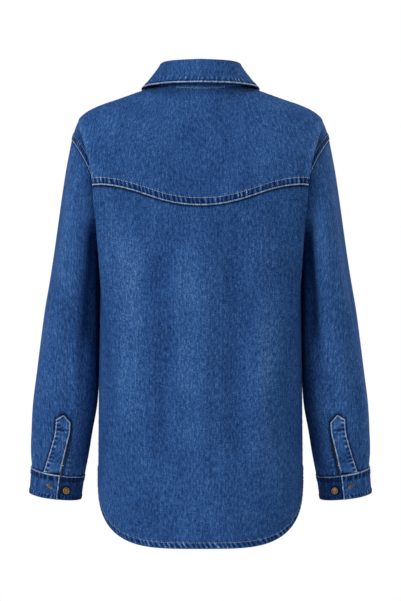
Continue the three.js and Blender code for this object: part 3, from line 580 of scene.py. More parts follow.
def walk(path, normal, step, start=0.0):
    """Places at equal steps along a path: point, direction and normal."""
    run = np.concatenate([[0], np.cumsum(np.linalg.norm(np.diff(path, axis=0), axis=1))])
    at = np.arange(start + step / 2, run[-1] - step / 2, step)
    point = np.stack([np.interp(at, run, path[:, k]) for k in range(3)], 1)
    ahead = np.stack([np.interp(at + step / 3, run, path[:, k]) for k in range(3)], 1)
    behind = np.stack([np.interp(at - step / 3, run, path[:, k]) for k in range(3)], 1)
    up = unit(np.stack([np.interp(at, run, normal[:, k]) for k in range(3)], 1))
    return point, unit(ahead - behind), up


def capsules(point, forward, up, length, radius):
    """Capsules of five sides: three rings along each thread, thin and low at the ends."""
    side = unit(np.cross(forward, up))
    up = np.cross(side, forward)
    ring = np.arange(5) * 2 * np.pi / 5
    stations = np.array([(-0.5, 0.45, -0.55), (-0.22, 1, 0.25), (0.22, 1, 0.25), (0.5, 0.45, -0.55)])
    centre = (
        point[:, None]
        + forward[:, None] * (stations[:, 0] * length)[None, :, None]
        + up[:, None] * (stations[:, 2] * radius)[None, :, None]
    )
    spoke = side[:, None] * np.cos(ring)[None, :, None] + up[:, None] * np.sin(ring)[None, :, None]
    points = centre[:, :, None] + spoke[:, None] * (stations[:, 1] * radius)[None, :, None, None]
    count = 4 * 5
    k = np.arange(5)
    wall = np.concatenate(
        [np.stack([r * 5 + k, r * 5 + (k + 1) % 5, (r + 1) * 5 + (k + 1) % 5, (r + 1) * 5 + k], 1) for r in range(3)]
    )
    caps = np.array([[0, 4, 3, 2, 1], [15, 16, 17, 18, 19]])
    base = (np.arange(len(point)) * count)[:, None, None]
    return points.reshape(-1, 3), (wall[None] + base).reshape(-1, 4), (caps[None] + base).reshape(-1, 5)


def thread_piece(name, rows, material, radius=STITCH["radius"]):
    """Joins rows of stitches, each a path with its normals, into one mesh."""
    points, faces, start = [], [], 0
    for path, normal in rows:
        where, forward, up = walk(path, normal, STITCH["pitch"])
        made, quads, caps = capsules(where, forward, up, STITCH["length"], radius)
        points.append(made)
        faces += (quads + start).tolist() + (caps + start).tolist()
        start += len(made)
    mesh = bpy.data.meshes.new(name)
    mesh.from_pydata(np.concatenate(points) * MM, [], faces)
    mesh.polygons.foreach_set("use_smooth", np.ones(len(mesh.polygons), bool))
    mesh.materials.append(material)
    piece = bpy.data.objects.new(name, mesh)
    bpy.context.scene.collection.objects.link(piece)
    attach(piece, "root")
    print(name, "stitches", start // 20)
    return piece


def stitch_rows(grid, outer, side, rows):
    """Stitch paths for a panel. Each row: edge, distance, and optionally which part of it."""
    edges, normal = edge_lengths(grid), facing_of(outer, side)
    paths = []
    for edge, distance, *part in rows:
        path, up = row_at(outer, normal, edges[edge][0], distance, edge)
        if part:
            keep = part[0]
            path, up = path[keep], up[keep]
        paths.append((path, up))
    return paths


# %% [markdown]
# ## Worn denim
# Denim is a twill: indigo yarns run lengthwise over white ones, and show as fine slanted lines.
# Uneven yarns make streaks along the grain, and washing leaves small pale flecks and soft clouds.
# The pattern follows the cloth's own map, so it turns with each sleeve. The wear_and_shade value
# lightens rubbed ridges and edges and darkens roping hollows; it also holds painted shade in
# creases, crevices and under laps, and painted light on fold ridges.

# %% Node helpers and the denim
def new_material(name):
    """An empty node material with its shader and output joined."""
    material = bpy.data.materials.new(name)
    material.use_nodes = True
    tree = material.node_tree
    return material, tree, tree.nodes["Principled BSDF"]


def node(tree, kind, inputs=None, **settings):
    """Adds a node, sets its properties, and links or sets its inputs."""
    made = tree.nodes.new(kind)
    for key, value in settings.items():
        setattr(made, key, value)
    for key, value in (inputs or {}).items():
        if isinstance(value, bpy.types.NodeSocket):
            tree.links.new(value, made.inputs[key])
        else:
            made.inputs[key].default_value = value
    return made


def scaled(tree, vector, size, turn=0.0):
    """The cloth's map stretched by size and turned by an angle in radians."""
    return node(tree, "ShaderNodeMapping", {"Vector": vector, "Scale": size, "Rotation": (0, 0, turn)}).outputs[0]


def maths(tree, operation, a, b=0.0, c=0.0):
    """One sum of two or three numbers or sockets."""
    return node(tree, "ShaderNodeMath", {0: a, 1: b, 2: c}, operation=operation).outputs[0]


def noise(tree, vector, detail=2.0, roughness=0.5):
    """Noise from 0 to 1 at scale one."""
    made = node(tree, "ShaderNodeTexNoise", {"Vector": vector, "Scale": 1.0, "Detail": detail, "Roughness": roughness})
    return made.outputs[0]


def denim():
    """Colour: a ramp read by yarn streaks, flecks, clouds, wear, painted shade and painted light. Relief: twill and
    slubs.
    """
    material, tree, shader = new_material("worn_denim")
    cloth = node(tree, "ShaderNodeUVMap", uv_map="Cloth").outputs[0]
    body = node(tree, "ShaderNodeTexCoord").outputs["Object"]
    wear_and_shade = node(tree, "ShaderNodeAttribute", attribute_name="wear_and_shade").outputs["Fac"]
    inside = node(tree, "ShaderNodeAttribute", attribute_name="inside").outputs["Fac"]
    yarn = noise(tree, scaled(tree, cloth, (430, 120, 1)), 1.0)
    slub = noise(tree, scaled(tree, cloth, (300, 14, 1)), 1.0)
    cross = noise(tree, scaled(tree, cloth, (140, 520, 1)), 1.0)
    grit = noise(tree, scaled(tree, cloth, (900, 400, 1)), 1.0)
    cloud = noise(tree, scaled(tree, body, (26, 26, 15)), 3.0)
    fade = noise(tree, scaled(tree, body, (7, 7, 4)), 1.0)
    tone = maths(tree, "MULTIPLY_ADD", yarn, 0.84, 0.5 - 0.42)
    tone = maths(tree, "ADD", tone, maths(tree, "MULTIPLY_ADD", slub, 0.3, -0.15))
    tone = maths(tree, "ADD", tone, maths(tree, "MULTIPLY_ADD", cross, 0.3, -0.15))
    tone = maths(tree, "ADD", tone, maths(tree, "MULTIPLY_ADD", grit, 1.0, -0.5))
    tone = maths(tree, "ADD", tone, maths(tree, "MULTIPLY_ADD", cloud, 0.34, -0.17))
    tone = maths(tree, "ADD", tone, maths(tree, "MULTIPLY_ADD", fade, 0.24, -0.12))
    tone = maths(tree, "MINIMUM", tone, 0.8)
    # the wear_and_shade value lightens worn places, adds painted shade and painted light
    tone = maths(tree, "ADD", tone, maths(tree, "MULTIPLY", wear_and_shade, 0.62))
    ramp = node(tree, "ShaderNodeValToRGB", {"Fac": tone})
    stops = [
        (0.0, (0.0040, 0.016, 0.064)), (0.3, (0.0135, 0.049, 0.165)), (0.5, (0.0250, 0.083, 0.252)),
        (0.72, (0.046, 0.135, 0.362)), (0.9, (0.14, 0.25, 0.46)), (1.0, (0.44, 0.55, 0.66)),
    ]
    ramp.color_ramp.elements[0].position = 0.0
    ramp.color_ramp.elements[1].position = 1.0
    for place_at, _ in stops[1:-1]:
        ramp.color_ramp.elements.new(place_at)
    for element, (place_at, colour) in zip(ramp.color_ramp.elements, stops):
        element.position, element.color = place_at, (*colour, 1)
    lining = node(
        tree, "ShaderNodeMix",
        {"Factor": inside, "A": ramp.outputs[0], "B": (0.20, 0.27, 0.38, 1)}, data_type="RGBA",
    )
    colour_in = [s for s in lining.inputs if s.type == "RGBA"]
    tree.links.new(ramp.outputs[0], colour_in[0])
    colour_in[1].default_value = (0.20, 0.27, 0.38, 1)
    colour = [s for s in lining.outputs if s.type == "RGBA"][0]
    tree.links.new(colour, shader.inputs["Base Color"])
    twill = node(
        tree, "ShaderNodeTexWave", {"Vector": scaled(tree, cloth, (300, 300, 1), 1.1), "Scale": 1.0, "Distortion": 0.6},
    ).outputs[1]
    height = maths(tree, "MULTIPLY_ADD", yarn, 0.9, maths(tree, "MULTIPLY", twill, 0.35))
    height = maths(tree, "ADD", height, maths(tree, "MULTIPLY", grit, 0.6))
    relief = node(tree, "ShaderNodeBump", {"Height": height, "Strength": 0.35, "Distance": 0.0006})
    tree.links.new(relief.outputs[0], shader.inputs["Normal"])
    shader.inputs["Roughness"].default_value = 0.88
    shader.inputs["Specular IOR Level"].default_value = 0.05
    return material


def thread_cotton(name, dark, light):
    """Thread with twisted plies and a slight change of tone along a seam."""
    material, tree, shader = new_material(name)
    body = node(tree, "ShaderNodeTexCoord").outputs["Object"]
    tone = noise(tree, scaled(tree, body, (160, 160, 160)), 2.0)
    ramp = node(tree, "ShaderNodeValToRGB", {"Fac": tone})
    ramp.color_ramp.elements[0].position, ramp.color_ramp.elements[1].position = 0.3, 0.7
    ramp.color_ramp.elements[0].color = (*dark, 1)
    ramp.color_ramp.elements[1].color = (*light, 1)
    tree.links.new(ramp.outputs[0], shader.inputs["Base Color"])
    ply = node(tree, "ShaderNodeTexWave", {"Vector": scaled(tree, body, (900, 900, 900)), "Scale": 1.0, "Distortion": 1.0}, bands_direction="DIAGONAL")
    relief = node(tree, "ShaderNodeBump", {"Height": ply.outputs[1], "Strength": 0.4, "Distance": 0.0002})
    tree.links.new(relief.outputs[0], shader.inputs["Normal"])
    shader.inputs["Roughness"].default_value = 0.8
    return material


def old_brass():
    """Antique brass: dark in the hollows, rubbed bright on the rims."""
    material, tree, shader = new_material("antique_brass")
    body = node(tree, "ShaderNodeTexCoord").outputs["Object"]
    tone = noise(tree, scaled(tree, body, (420, 420, 420)), 3.0)
    rub = node(tree, "ShaderNodeAttribute", attribute_name="rub").outputs["Fac"]
    ramp = node(tree, "ShaderNodeValToRGB", {"Fac": maths(tree, "MULTIPLY_ADD", tone, 0.6, maths(tree, "MULTIPLY", rub, 0.6))})
    ramp.color_ramp.elements[0].position, ramp.color_ramp.elements[1].position = 0.2, 0.95
    ramp.color_ramp.elements[0].color = (0.09, 0.045, 0.020, 1)
    ramp.color_ramp.elements[1].color = (0.43, 0.26, 0.11, 1)
    tree.links.new(ramp.outputs[0], shader.inputs["Base Color"])
    rough = node(tree, "ShaderNodeMapRange", {"Value": tone, 3: 0.38, 4: 0.6})
    tree.links.new(rough.outputs[0], shader.inputs["Roughness"])
    shader.inputs["Metallic"].default_value = 0.85
    return material


DENIM, BRASS = denim(), old_brass()
THREAD = thread_cotton("pale_thread", (0.24, 0.33, 0.43), (0.50, 0.60, 0.70))
DARK_THREAD = thread_cotton("indigo_thread", (0.02, 0.04, 0.10), (0.05, 0.09, 0.18))
BLUE_THREAD = thread_cotton("blue_thread", (0.14, 0.20, 0.30), (0.34, 0.43, 0.54))

# %% [markdown]
# ## Back yoke
# The yoke is one piece from the neck over the shoulders. Its lower edge dips to the spine and is
# lapped over the back with two rows of stitches and strong roping between them.
# Its side edges lap the sleeves in the same way.

# %% Make the yoke
back_shares = 2 * spread(400, 14, 14, 1.1, 1.4) - 1
yoke_downs = spread(205, 6, 16, 1.0, 2.2)
s, d = np.meshgrid(back_shares, yoke_downs)
yoke_grid = yoke_point(s, d)
over_shoulder = (np.abs(s) > NECK_SHARE) * 1.0
seam_fade = 1 - ease((np.abs(s) - 0.84) / 0.1)
yoke_seams = [
    {"edge": "start", "depth": 9.5, "rise": 0.6, "edge_wear": 0.85, "line": 1.4, "force": 1.3, "bias": -0.8, "seed": 5},
    {"edge": "end", "depth": 9.5, "rise": 0.6, "edge_wear": 0.85, "line": 1.4, "force": 1.3, "bias": -0.8, "seed": 9},
    # the bottom seam's groove value is painted shade just inside its rubbed edge
    {"edge": "bottom", "depth": 11, "rise": 0.8, "rise_fade": seam_fade, "edge_wear": 0.95, "force": 1.35, "groove": 0.55, "pitch": 7, "lean": -0.15},
    {"edge": "top", "depth": 8, "rise": 0.5, "edge_wear": 0.6, "force": 0.6, "only": over_shoulder, "seed": 3},
]
relief, wear_and_shade = seam_finish(yoke_grid, yoke_seams)
crease = crease_lift(np.abs(s), d)
# Painted shade in the crease's troughs and painted light on its ridges.
wear_and_shade = wear_and_shade + np.where(crease > 0, 0.04, 0.12) * crease
yoke, outer = shell("yoke_cloth", yoke_grid, CLOTH, 1, DENIM, relief, wear_and_shade)
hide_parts("back_yoke")
right_top, left_top = back_shares < -NECK_SHARE, back_shares > NECK_SHARE
neck_part = np.abs(back_shares) < 0.14
edge_rows = [
    ("bottom", 1.5), ("start", 1.5), ("end", 1.5), ("top", 1.9, right_top), ("top", 1.9, left_top),
    ("top", 1.6, neck_part), ("bottom", 11),
]
inner_rows = [("start", 9.5), ("end", 9.5), ("top", 8, right_top), ("top", 8, left_top)]
yoke_thread = thread_piece("yoke_thread", stitch_rows(yoke_grid, outer, 1, edge_rows), THREAD)
yoke_inner_thread = thread_piece("yoke_inner_thread", stitch_rows(yoke_grid, outer, 1, inner_rows), BLUE_THREAD)

# %% Make the back
side_downs = 0.009 + 0.991 * spread(82, 5, 0, 1.0, 2.4)
hang_downs = spread(460, 0, 14, 1.0, 5.5)[1:]
back_grid = hanging_panel(1, back_shares, side_downs, hang_downs, BACK_FOLDS)
edges = edge_lengths(back_grid)
from_armhole = np.minimum(edges["start"][0], edges["end"][0])
ridge = 5 * bump(from_armhole - 13, 5) * (1 - ease((-195 - back_grid[..., 2]) / 40))
ridge = ridge + fold_lift(back_grid, SOFT_FOLDS, turn_of(back_grid))
back_grid = back_grid + unit(back_grid * [1, 1, 0]) * ridge[..., None]
armhole_rows = (np.arange(len(back_grid)) < len(side_downs))[:, None] * 1.0
back_seams = [
    # The top edge's shade is painted shadow under the yoke's lap.
    {"edge": "top", "shade": 1.3},
    {"edge": "bottom", "depth": 9, "rise": 0.7, "edge_wear": 0.2, "force": 1.3, "bias": -0.5, "pitch": 7.7, "lean": -0.6, "seed": 13},
    {"edge": "start", "depth": 9, "edge_wear": 0.5, "force": 0.6, "seed": 15, "only": armhole_rows},
    {"edge": "end", "depth": 9, "edge_wear": 0.5, "force": 0.6, "seed": 19, "only": armhole_rows},
]
relief, wear_and_shade = seam_finish(back_grid, back_seams)
# Painted light on the fold ridges and painted shade in the fold troughs, over a slightly darker overall tone.
wear_and_shade = wear_and_shade - 0.045 + 0.028 * fold_lift(back_grid, BACK_FOLDS + SOFT_FOLDS, turn_of(back_grid))
back, outer = shell("back_cloth", back_grid, CLOTH, 1, DENIM, relief, wear_and_shade)
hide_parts("back_body")
armhole_part = slice(len(side_downs) // 2, len(side_downs))
back_rows = [("bottom", 9), ("start", 1.5, armhole_part), ("end", 1.5, armhole_part)]
back_thread = thread_piece("back_thread", stitch_rows(back_grid, outer, 1, back_rows), BLUE_THREAD)

# %% [markdown]
# ## Fronts and front band
# The right front is lapped over the left one and carries the band with the buttons.

# %% Make the fronts
FRONT_LAP = 0.075
OVER_RISE = CLOTH + LAP_RISE + 4 * SEAM_GAP
BAND = {"thick": 1.2, "out": OVER_RISE + LAP_RISE + 3 * SEAM_GAP + 1.2}
chest_downs = 0.01 + 0.99 * spread(130, 5, 0, 1.0, 3.4)
FLIP = np.array([-1, 1, 1])


def front_grid(shares, rise):
    """A front from the shoulder to the hem, raised near the centre by which it laps the other."""
    s, d = np.meshgrid(shares, chest_downs[:-1])
    hang = hanging_panel(-1, shares, np.concatenate([[0], side_downs[1:]]), hang_downs, FRONT_FOLDS)
    grid = np.concatenate([chest_point(s, d), hang])
    lift = rise * (1 - ease((np.abs(shares) - FRONT_LAP) / 0.08))
    return grid + unit(grid * [1, 1, 0]) * lift[None, :, None]


front_shares = -FRONT_LAP + (1 + FRONT_LAP) * spread(200, 8, 14, 1.1, 2.3)
front_seams = [
    # The top edge's shade is painted shadow under the yoke.
    {"edge": "top", "shade": 0.4},
    {"edge": "bottom", "depth": 9, "rise": 0.7, "edge_wear": 0.2, "force": 1.35, "bias": -0.46, "pitch": 7.7, "lean": -0.6, "seed": 23},
    {"edge": "end", "depth": 9, "rise": 0.5, "edge_wear": 0.1, "force": 0.6, "seed": 25},
]
front_rows = [("bottom", 9), ("end", 1.9), ("end", 9)]
fronts = {}
for hand, rise in (("left", 0.0), ("right", OVER_RISE)):
    grid = front_grid(front_shares, rise)
    relief, wear_and_shade = seam_finish(grid, front_seams)
    side = -1 if hand == "left" else 1
    grid = grid if hand == "left" else grid * FLIP
    piece, outer = shell(f"front_cloth_{hand}", grid, CLOTH, side, DENIM, relief, wear_and_shade)
    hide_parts(f"front_{hand}")
    thread = thread_piece(f"front_thread_{hand}", stitch_rows(grid, outer, side, front_rows), BLUE_THREAD)
    fronts[hand] = (piece, thread)

band_shares = -FRONT_LAP + 2 * FRONT_LAP * spread(42, 8, 8, 1.0, 2.0)
band_grid = front_grid(band_shares, BAND["out"]) * FLIP
band_seams = [
    {"edge": "start", "depth": 6, "edge_wear": 0.55, "force": 0.5, "seed": 31},
    {"edge": "end", "depth": 6, "edge_wear": 0.55, "force": 0.5, "seed": 37},
    {"edge": "bottom", "depth": 7, "edge_wear": 0.5, "force": 0.5, "pitch": 8},
]
relief, wear_and_shade = seam_finish(band_grid, band_seams)
band, band_outer = shell("band_cloth", band_grid, BAND["thick"], 1, DENIM, 0.4 * relief, wear_and_shade)
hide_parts("front_band")
band_thread = thread_piece(
    "band_thread", stitch_rows(band_grid, band_outer, 1, [("start", 2.2), ("end", 2.2), ("start", 7), ("end", 7)]), THREAD
)

# %% [markdown]
# ## Sleeves
# A sleeve is a tube of rings that hang from the armhole. It is cut from a single grid whose first
# and last columns meet at the back of the arm: welded above the slit, apart below it.

# %% Sizes of a sleeve
SLEEVE = [  # ring, outer x, outer z, inner x, inner z, half depth, middle y, scoop, tilt
    (0, 199, -74, 155.5, -232, 78, 0, 20, 0), (1, 203.3, -95, 156.3, -238, 77, 0, 9, 0),
    (2, 208.3, -122, 156.4, -248, 76, -1, 3, 0), (3, 214.2, -160, 156.5, -262, 75.5, -2, 1, 0),
    (4, 219.8, -200, 156.6, -282, 75, -3, 0, 0), (5, 226.3, -245, 156.7, -310, 73, -5, 0, 0),
    (6, 233.4, -290, 156.9, -342, 70, -7, 0, 0), (7, 241.3, -335, 157.1, -376, 67, -9, 0, 0),
    (8, 247.8, -382, 157.6, -410, 63, -11, 0, 0), (9, 254, -430, 158.4, -446, 59, -13, 0, 0),
    (10, 260.2, -478, 161.3, -484, 55.5, -14, 0, 0.5), (11, 262.8, -520, 168.5, -524, 52, -15, 0, 1.5),
    (12, 262.6, -551, 174.2, -559, 48, -15, 0, 3), (13, 262, -579, 180.6, -592, 43, -15, 0, 4),
]
SLEEVE_FOLDS = [  # turn from the outer side, width, height, from ring, to ring
    (132, 14, -7, 0.2, 8), (86, 9, 2, 2, 7), (96, 8, -2, 8, 13), (-118, 16, -6, 0.4, 7),
    (62, 13, 3.5, 0.5, 7), (30, 11, -3, 1, 8), (-60, 13, 3.5, 0.5, 7), (120, 12, -3.5, 4, 10),
    (52, 8, -2.5, 10.5, 13.6), (20, 8, 2.5, 10.5, 13.6), (-35, 10, -2.5, 10, 13.6),
]
LAST_RING = 13


def ring_point(ring, turn, square):
    """A leaning superellipse, by the turn from its outer side round the back."""
    out_x, out_z, in_x, in_z, depth, mid_y, scoop, tilt = np.moveaxis(ring, -1, 0)
    a = np.radians(turn)
    out = np.sign(np.cos(a)) * np.abs(np.cos(a)) ** (2 / square)
    back = np.sign(np.sin(a)) * np.abs(np.sin(a)) ** (2 / square)
    x = (out_x + in_x) / 2 + (out_x - in_x) / 2 * out - scoop * back**2
    z = (out_z + in_z) / 2 + (out_z - in_z) / 2 * out - tilt * back
    return place(x, mid_y + depth * back, z)


def push_out(ring, point, amount):
    """Moves a ring's point away from the ring's middle line."""
    middle = place((ring[..., 0] + ring[..., 2]) / 2, ring[..., 5], point[..., 2])
    return point + unit(point - middle) * np.asarray(amount)[..., None]


def sleeve_lift(at, turn):
    """The height of the sleeve's folds: bells across the turn, eased in and out along the rings."""
    lift = 0 * at
    for where, width, height, start, end in SLEEVE_FOLDS:
        strength = ease((at - start) / 1.5) * (1 - ease((at - end + 1.5) / 1.5))
        away = (turn - where + 180) % 360 - 180
        lift = lift + height * strength * bump(away, width)
    return lift


def sleeve_point(at, turn):
    """A sleeve's point: at counts rings from the armhole, turn goes round."""
    ring = read(SLEEVE, at)
    point = ring_point(ring, turn, lerp(2, 2.15, np.clip(at, 0, 1)))
    point = push_out(ring, point, sleeve_lift(at, turn))
    seam = 1 - np.clip(at, 0, 1)
    return point + place(1.5 * SEAM_GAP * seam, 0, -SEAM_GAP * seam)


def sleeve_at(x, z):
    """Ring and turn of the sleeve's point behind a place seen from the back, by repeated steps."""
    at, turn = 11.0 + 0 * x, 90.0 + 0 * x
    for _ in range(14):
        here = sleeve_point(at, turn)
        at = np.minimum(LAST_RING, at + (here[..., 2] - z) / 36)
        turn = turn + np.degrees((here[..., 0] - x) / 42)
    return at, turn


def sleeve_at_place(x, z, out):
    """That point, moved out of the sleeve by a given amount."""
    at, turn = sleeve_at(x, z)
    around = sleeve_point(at, turn + 2) - sleeve_point(at, turn - 2)
    along = sleeve_point(at, turn) - sleeve_point(at - 0.3, turn)
    normal = unit(np.cross(around, along))
    return sleeve_point(at, turn) + normal * (out * np.sign(normal[..., 1]))[..., None]


# %% Make the sleeves
PLACKET_LINE = [  # z, x, half width
    (-497, 209.8, 10.9), (-523, 211.5, 11), (-538, 214.8, 11.2), (-555, 219.2, 11.6),
    (-574, 224.6, 12.2), (-586, 228.2, 12.4),
]
PLACKET = {"outer_tip": 7, "inner_tip": 12, "thick": 1.2}
SLIT = {"half_width": 1.3, "top": -528}
BINDING = {"far_x": 198.8, "thick": 1.0, "top": -541}


def placket_edge(z, offset):
    """The placket's x at a height: offset 1 is the edge beside the slit, -1 the other one."""
    x, half = np.moveaxis(read(PLACKET_LINE, z), -1, 0)
    return x - offset * half


slit_z = np.linspace(SLIT["top"], -586, 9)
slit_at, slit_turn = sleeve_at(placket_edge(slit_z, 1) - 1.2, slit_z)
sleeve_ats = np.unique(np.concatenate([
    spread(1, 0, 0, 1, 0.09), 1 + 9 * spread(9, 0, 0, 1, 0.095), 10 + 3 * spread(100, 0, 12, 1.2, 2.2), slit_at[:1],
]))
turn_at = np.interp(sleeve_ats, slit_at, slit_turn)
open_part = ease((sleeve_ats - slit_at[0]) / 0.25) * (sleeve_ats > slit_at[0])
gap_turn = open_part * np.degrees(SLIT["half_width"] / 46)
around_share = spread(380, 12, 12, 1.2, 2.6)
turns = turn_at[:, None] + gap_turn[:, None] + around_share[None] * (360 - 2 * gap_turn[:, None])
ats = np.repeat(sleeve_ats[:, None], len(around_share), axis=1)
sleeve_grid = sleeve_point(ats, turns)
closed_rows = open_part <= 0
beside_slit = (open_part > 0)[:, None] * 1.0
sleeve_seams = [
    # Each shade here is painted shadow: under the body at the armhole, above the cuff, and along the slit.
    {"edge": "top", "shade": 0.6},
    {"edge": "bottom", "depth": 4, "pitch": 9, "force": 0.6, "bias": -0.35, "shade": 0.7, "seed": 111},
    {"edge": "start", "shade": 1.2, "only": beside_slit},
    {"edge": "end", "shade": 1.2, "only": beside_slit},
]
relief, wear_and_shade = seam_finish(sleeve_grid, sleeve_seams)
underarm = ((turns - 180 + 180) % 360 - 180) * 0.8
wear_and_shade = wear_and_shade + 0.35 * bump(underarm, 1.2) - 0.25 * bump(underarm - 5, 3)
from_top = edge_lengths(sleeve_grid)["top"][0]
# Painted shade: darker cloth where the sleeve lies in the crevice beside the body, most near the armhole.
painted_crevice_shade = 0.06 * bump((turns - 145 + 180) % 360 - 180, 20) * (1 - ease((ats - 7) / 4))
painted_crevice_shade += 0.65 * bump(from_top, 14) * ease((turns % 360 - 62) / 22) * (1 - ease((turns % 360 - 150) / 30))
# Painted shadow: a dark rim on the sleeve round the placket, stronger on the slit side.
line_x, line_half = np.moveaxis(read(PLACKET_LINE, np.clip(sleeve_grid[..., 2], -586, -497)), -1, 0)
beside = (line_x - sleeve_grid[..., 0]) / line_half
tip = np.where(beside > 0, PLACKET["inner_tip"], PLACKET["outer_tip"])
above = sleeve_grid[..., 2] - (PLACKET_LINE[0][0] - tip * np.abs(beside))
outside = np.maximum((np.abs(beside) - 1) * line_half, above * 0.75)
painted_placket_shadow = bump(np.maximum(0, outside - 1.2), 2.2) * (sleeve_grid[..., 1] > -10)
# Painted light on the sleeve's fold ridges and painted shade in their troughs.
wear_and_shade = wear_and_shade + 0.02 + 0.03 * sleeve_lift(ats, turns) - painted_crevice_shade - np.where(beside > 0, 1.1, 0.8) * painted_placket_shadow
relief = relief + 0.7 * ease((underarm + 9) / 2) * (1 - ease(underarm / 1.5))

CUFF_TOP = np.array([263.2, -579.4, 180.2, -592.4, 43.6, -15, 0, 4])
CUFF_LOW = np.array([266.2, -620, 185.5, -630, 42, -15.5, 0, 2.5])
CUFF = {"edge_turn": 97, "under": 15, "lift": 2.7, "button_turn": 113.3, "button_down": 0.6, "thick": 2.2}
HOLE = {"turn": 80.5, "down": 0.5, "length": 11}


def cuff_point(turn, down, out):
    """A cuff's point: rings between its upper and lower edge, moved out by a given amount."""
    ring = lerp(CUFF_TOP, CUFF_LOW, np.asarray(down)[..., None])
    return push_out(ring, ring_point(ring, turn, 2.1), out)


# %% [markdown]
# ## Cuffs and sleeve plackets
# The cuffs are undone, so the outer end lies over the inner one with its edge showing. Above it
# the slit is bound by a pointed placket on the outer side and a narrow strip on the inner side.

# %% Make cuffs, plackets and bindings
cuff_turns = CUFF["edge_turn"] - (360 + CUFF["under"]) * spread(275, 10, 8, 1.0, 1.7)
cuff_downs = spread(40, 12, 8, 1.0, 1.4)
t, d = np.meshgrid(cuff_turns, cuff_downs)
cuff_grid = cuff_point(t, d, CUFF["lift"] * ease((t - 40) / 40))
cuff_seams = [
    {"edge": "top", "depth": 9, "rise": 0.3, "edge_wear": 0.9, "pitch": 8.5, "lean": 0.1, "force": 1.2, "bias": -0.75, "seed": 51},
    {"edge": "bottom", "depth": 5.5, "rise": 0.3, "edge_wear": 0.15, "pitch": 5.5, "lean": 0.3, "force": 1.3, "seed": 57},
    {"edge": "start", "depth": 3, "rise": 0.3, "edge_wear": 0.9, "pitch": 6, "force": 0.6, "seed": 61},
]
cuff_relief, cuff_wear_and_shade = seam_finish(cuff_grid, cuff_seams)
shaded_under_end = ease((-172 - t) / 28)
from_button = np.hypot(0.75 * (t - CUFF["button_turn"] + 360), 40 * (d - CUFF["button_down"]))
from_hole = np.hypot(0.75 * (t - HOLE["turn"]) / HOLE["length"], 40 * (d - HOLE["down"]) / 6)
cuff_wear_and_shade += 0.2 * soft_noise(t + 9 * d, 7, 9.0) * (0.6 + soft_noise(40 * d + 0.2 * t, 8, 8.0)) - 0.07
# Painted shade: the cuff's under end beneath the over end, a painted shadow line under the over end's edge, and a
# painted shadow ring round the button.
cuff_wear_and_shade -= 0.34 * shaded_under_end + 0.3 * bump(t + 263, 5) + 0.8 * (1 - ease((from_button - 6) / 4.5))
# Painted shade round the buttonhole.
cuff_wear_and_shade -= 0.55 * (1 - ease((from_hole - 0.4) / 0.35))
placket_low = PLACKET_LINE[-1][0]
across = -1 + 2 * spread(22, 7, 7, 0.9, 1.4)
down = spread(90, 6, 4, 1.0, 1.3)
o, d = np.meshgrid(across, down)
tip = np.where(o > 0, PLACKET["inner_tip"], PLACKET["outer_tip"])
z = lerp(PLACKET_LINE[0][0] - tip * np.abs(o), placket_low, d)
placket_grid = sleeve_at_place(placket_edge(z, o), z, 2 * SEAM_GAP + PLACKET["thick"])
placket_seams = [
    {"edge": "start", "depth": 6.5, "rise": 0.2, "edge_wear": 0.95, "force": 1.1, "bias": -0.6, "pitch": 7, "lean": -0.4, "seed": 71},
    {"edge": "end", "depth": 4, "rise": 0.2, "edge_wear": 0.95, "pitch": 7.5, "force": 0.5, "seed": 75},
    {"edge": "top", "depth": 3, "rise": 0.2, "edge_wear": 0.95, "pitch": 7.5, "force": 0.5, "seed": 77},
]
placket_relief, placket_wear = seam_finish(placket_grid, placket_seams)
cross_z = -524
within = ease((1 - np.abs(o)) / 0.15)
placket_wear += within * (0.55 * bump(placket_grid[..., 2] - cross_z, 1.1) - 0.5 * bump(placket_grid[..., 2] - cross_z - 3, 1.5))
placket_wear += 0.3 * within * (0.02 + soft_noise(placket_grid[..., 2] + 7 * o, 5, 9.0))
z, strip = np.meshgrid(np.linspace(BINDING["top"], placket_low, 38), np.linspace(0, 1, 9), indexing="ij")
binding_edge = placket_edge(z, 1) - 2.4 - 1
binding_grid = sleeve_at_place(lerp(binding_edge, BINDING["far_x"], strip), z, SEAM_GAP + BINDING["thick"])
# The start edge's shade is painted shadow along the slit.
binding_seams = [
    {"edge": "end", "depth": 5, "edge_wear": 0.05, "pitch": 7, "force": 0.7, "seed": 81},
    {"edge": "start", "shade": 1.0},
]
binding_relief, binding_wear_and_shade = seam_finish(binding_grid, binding_seams)

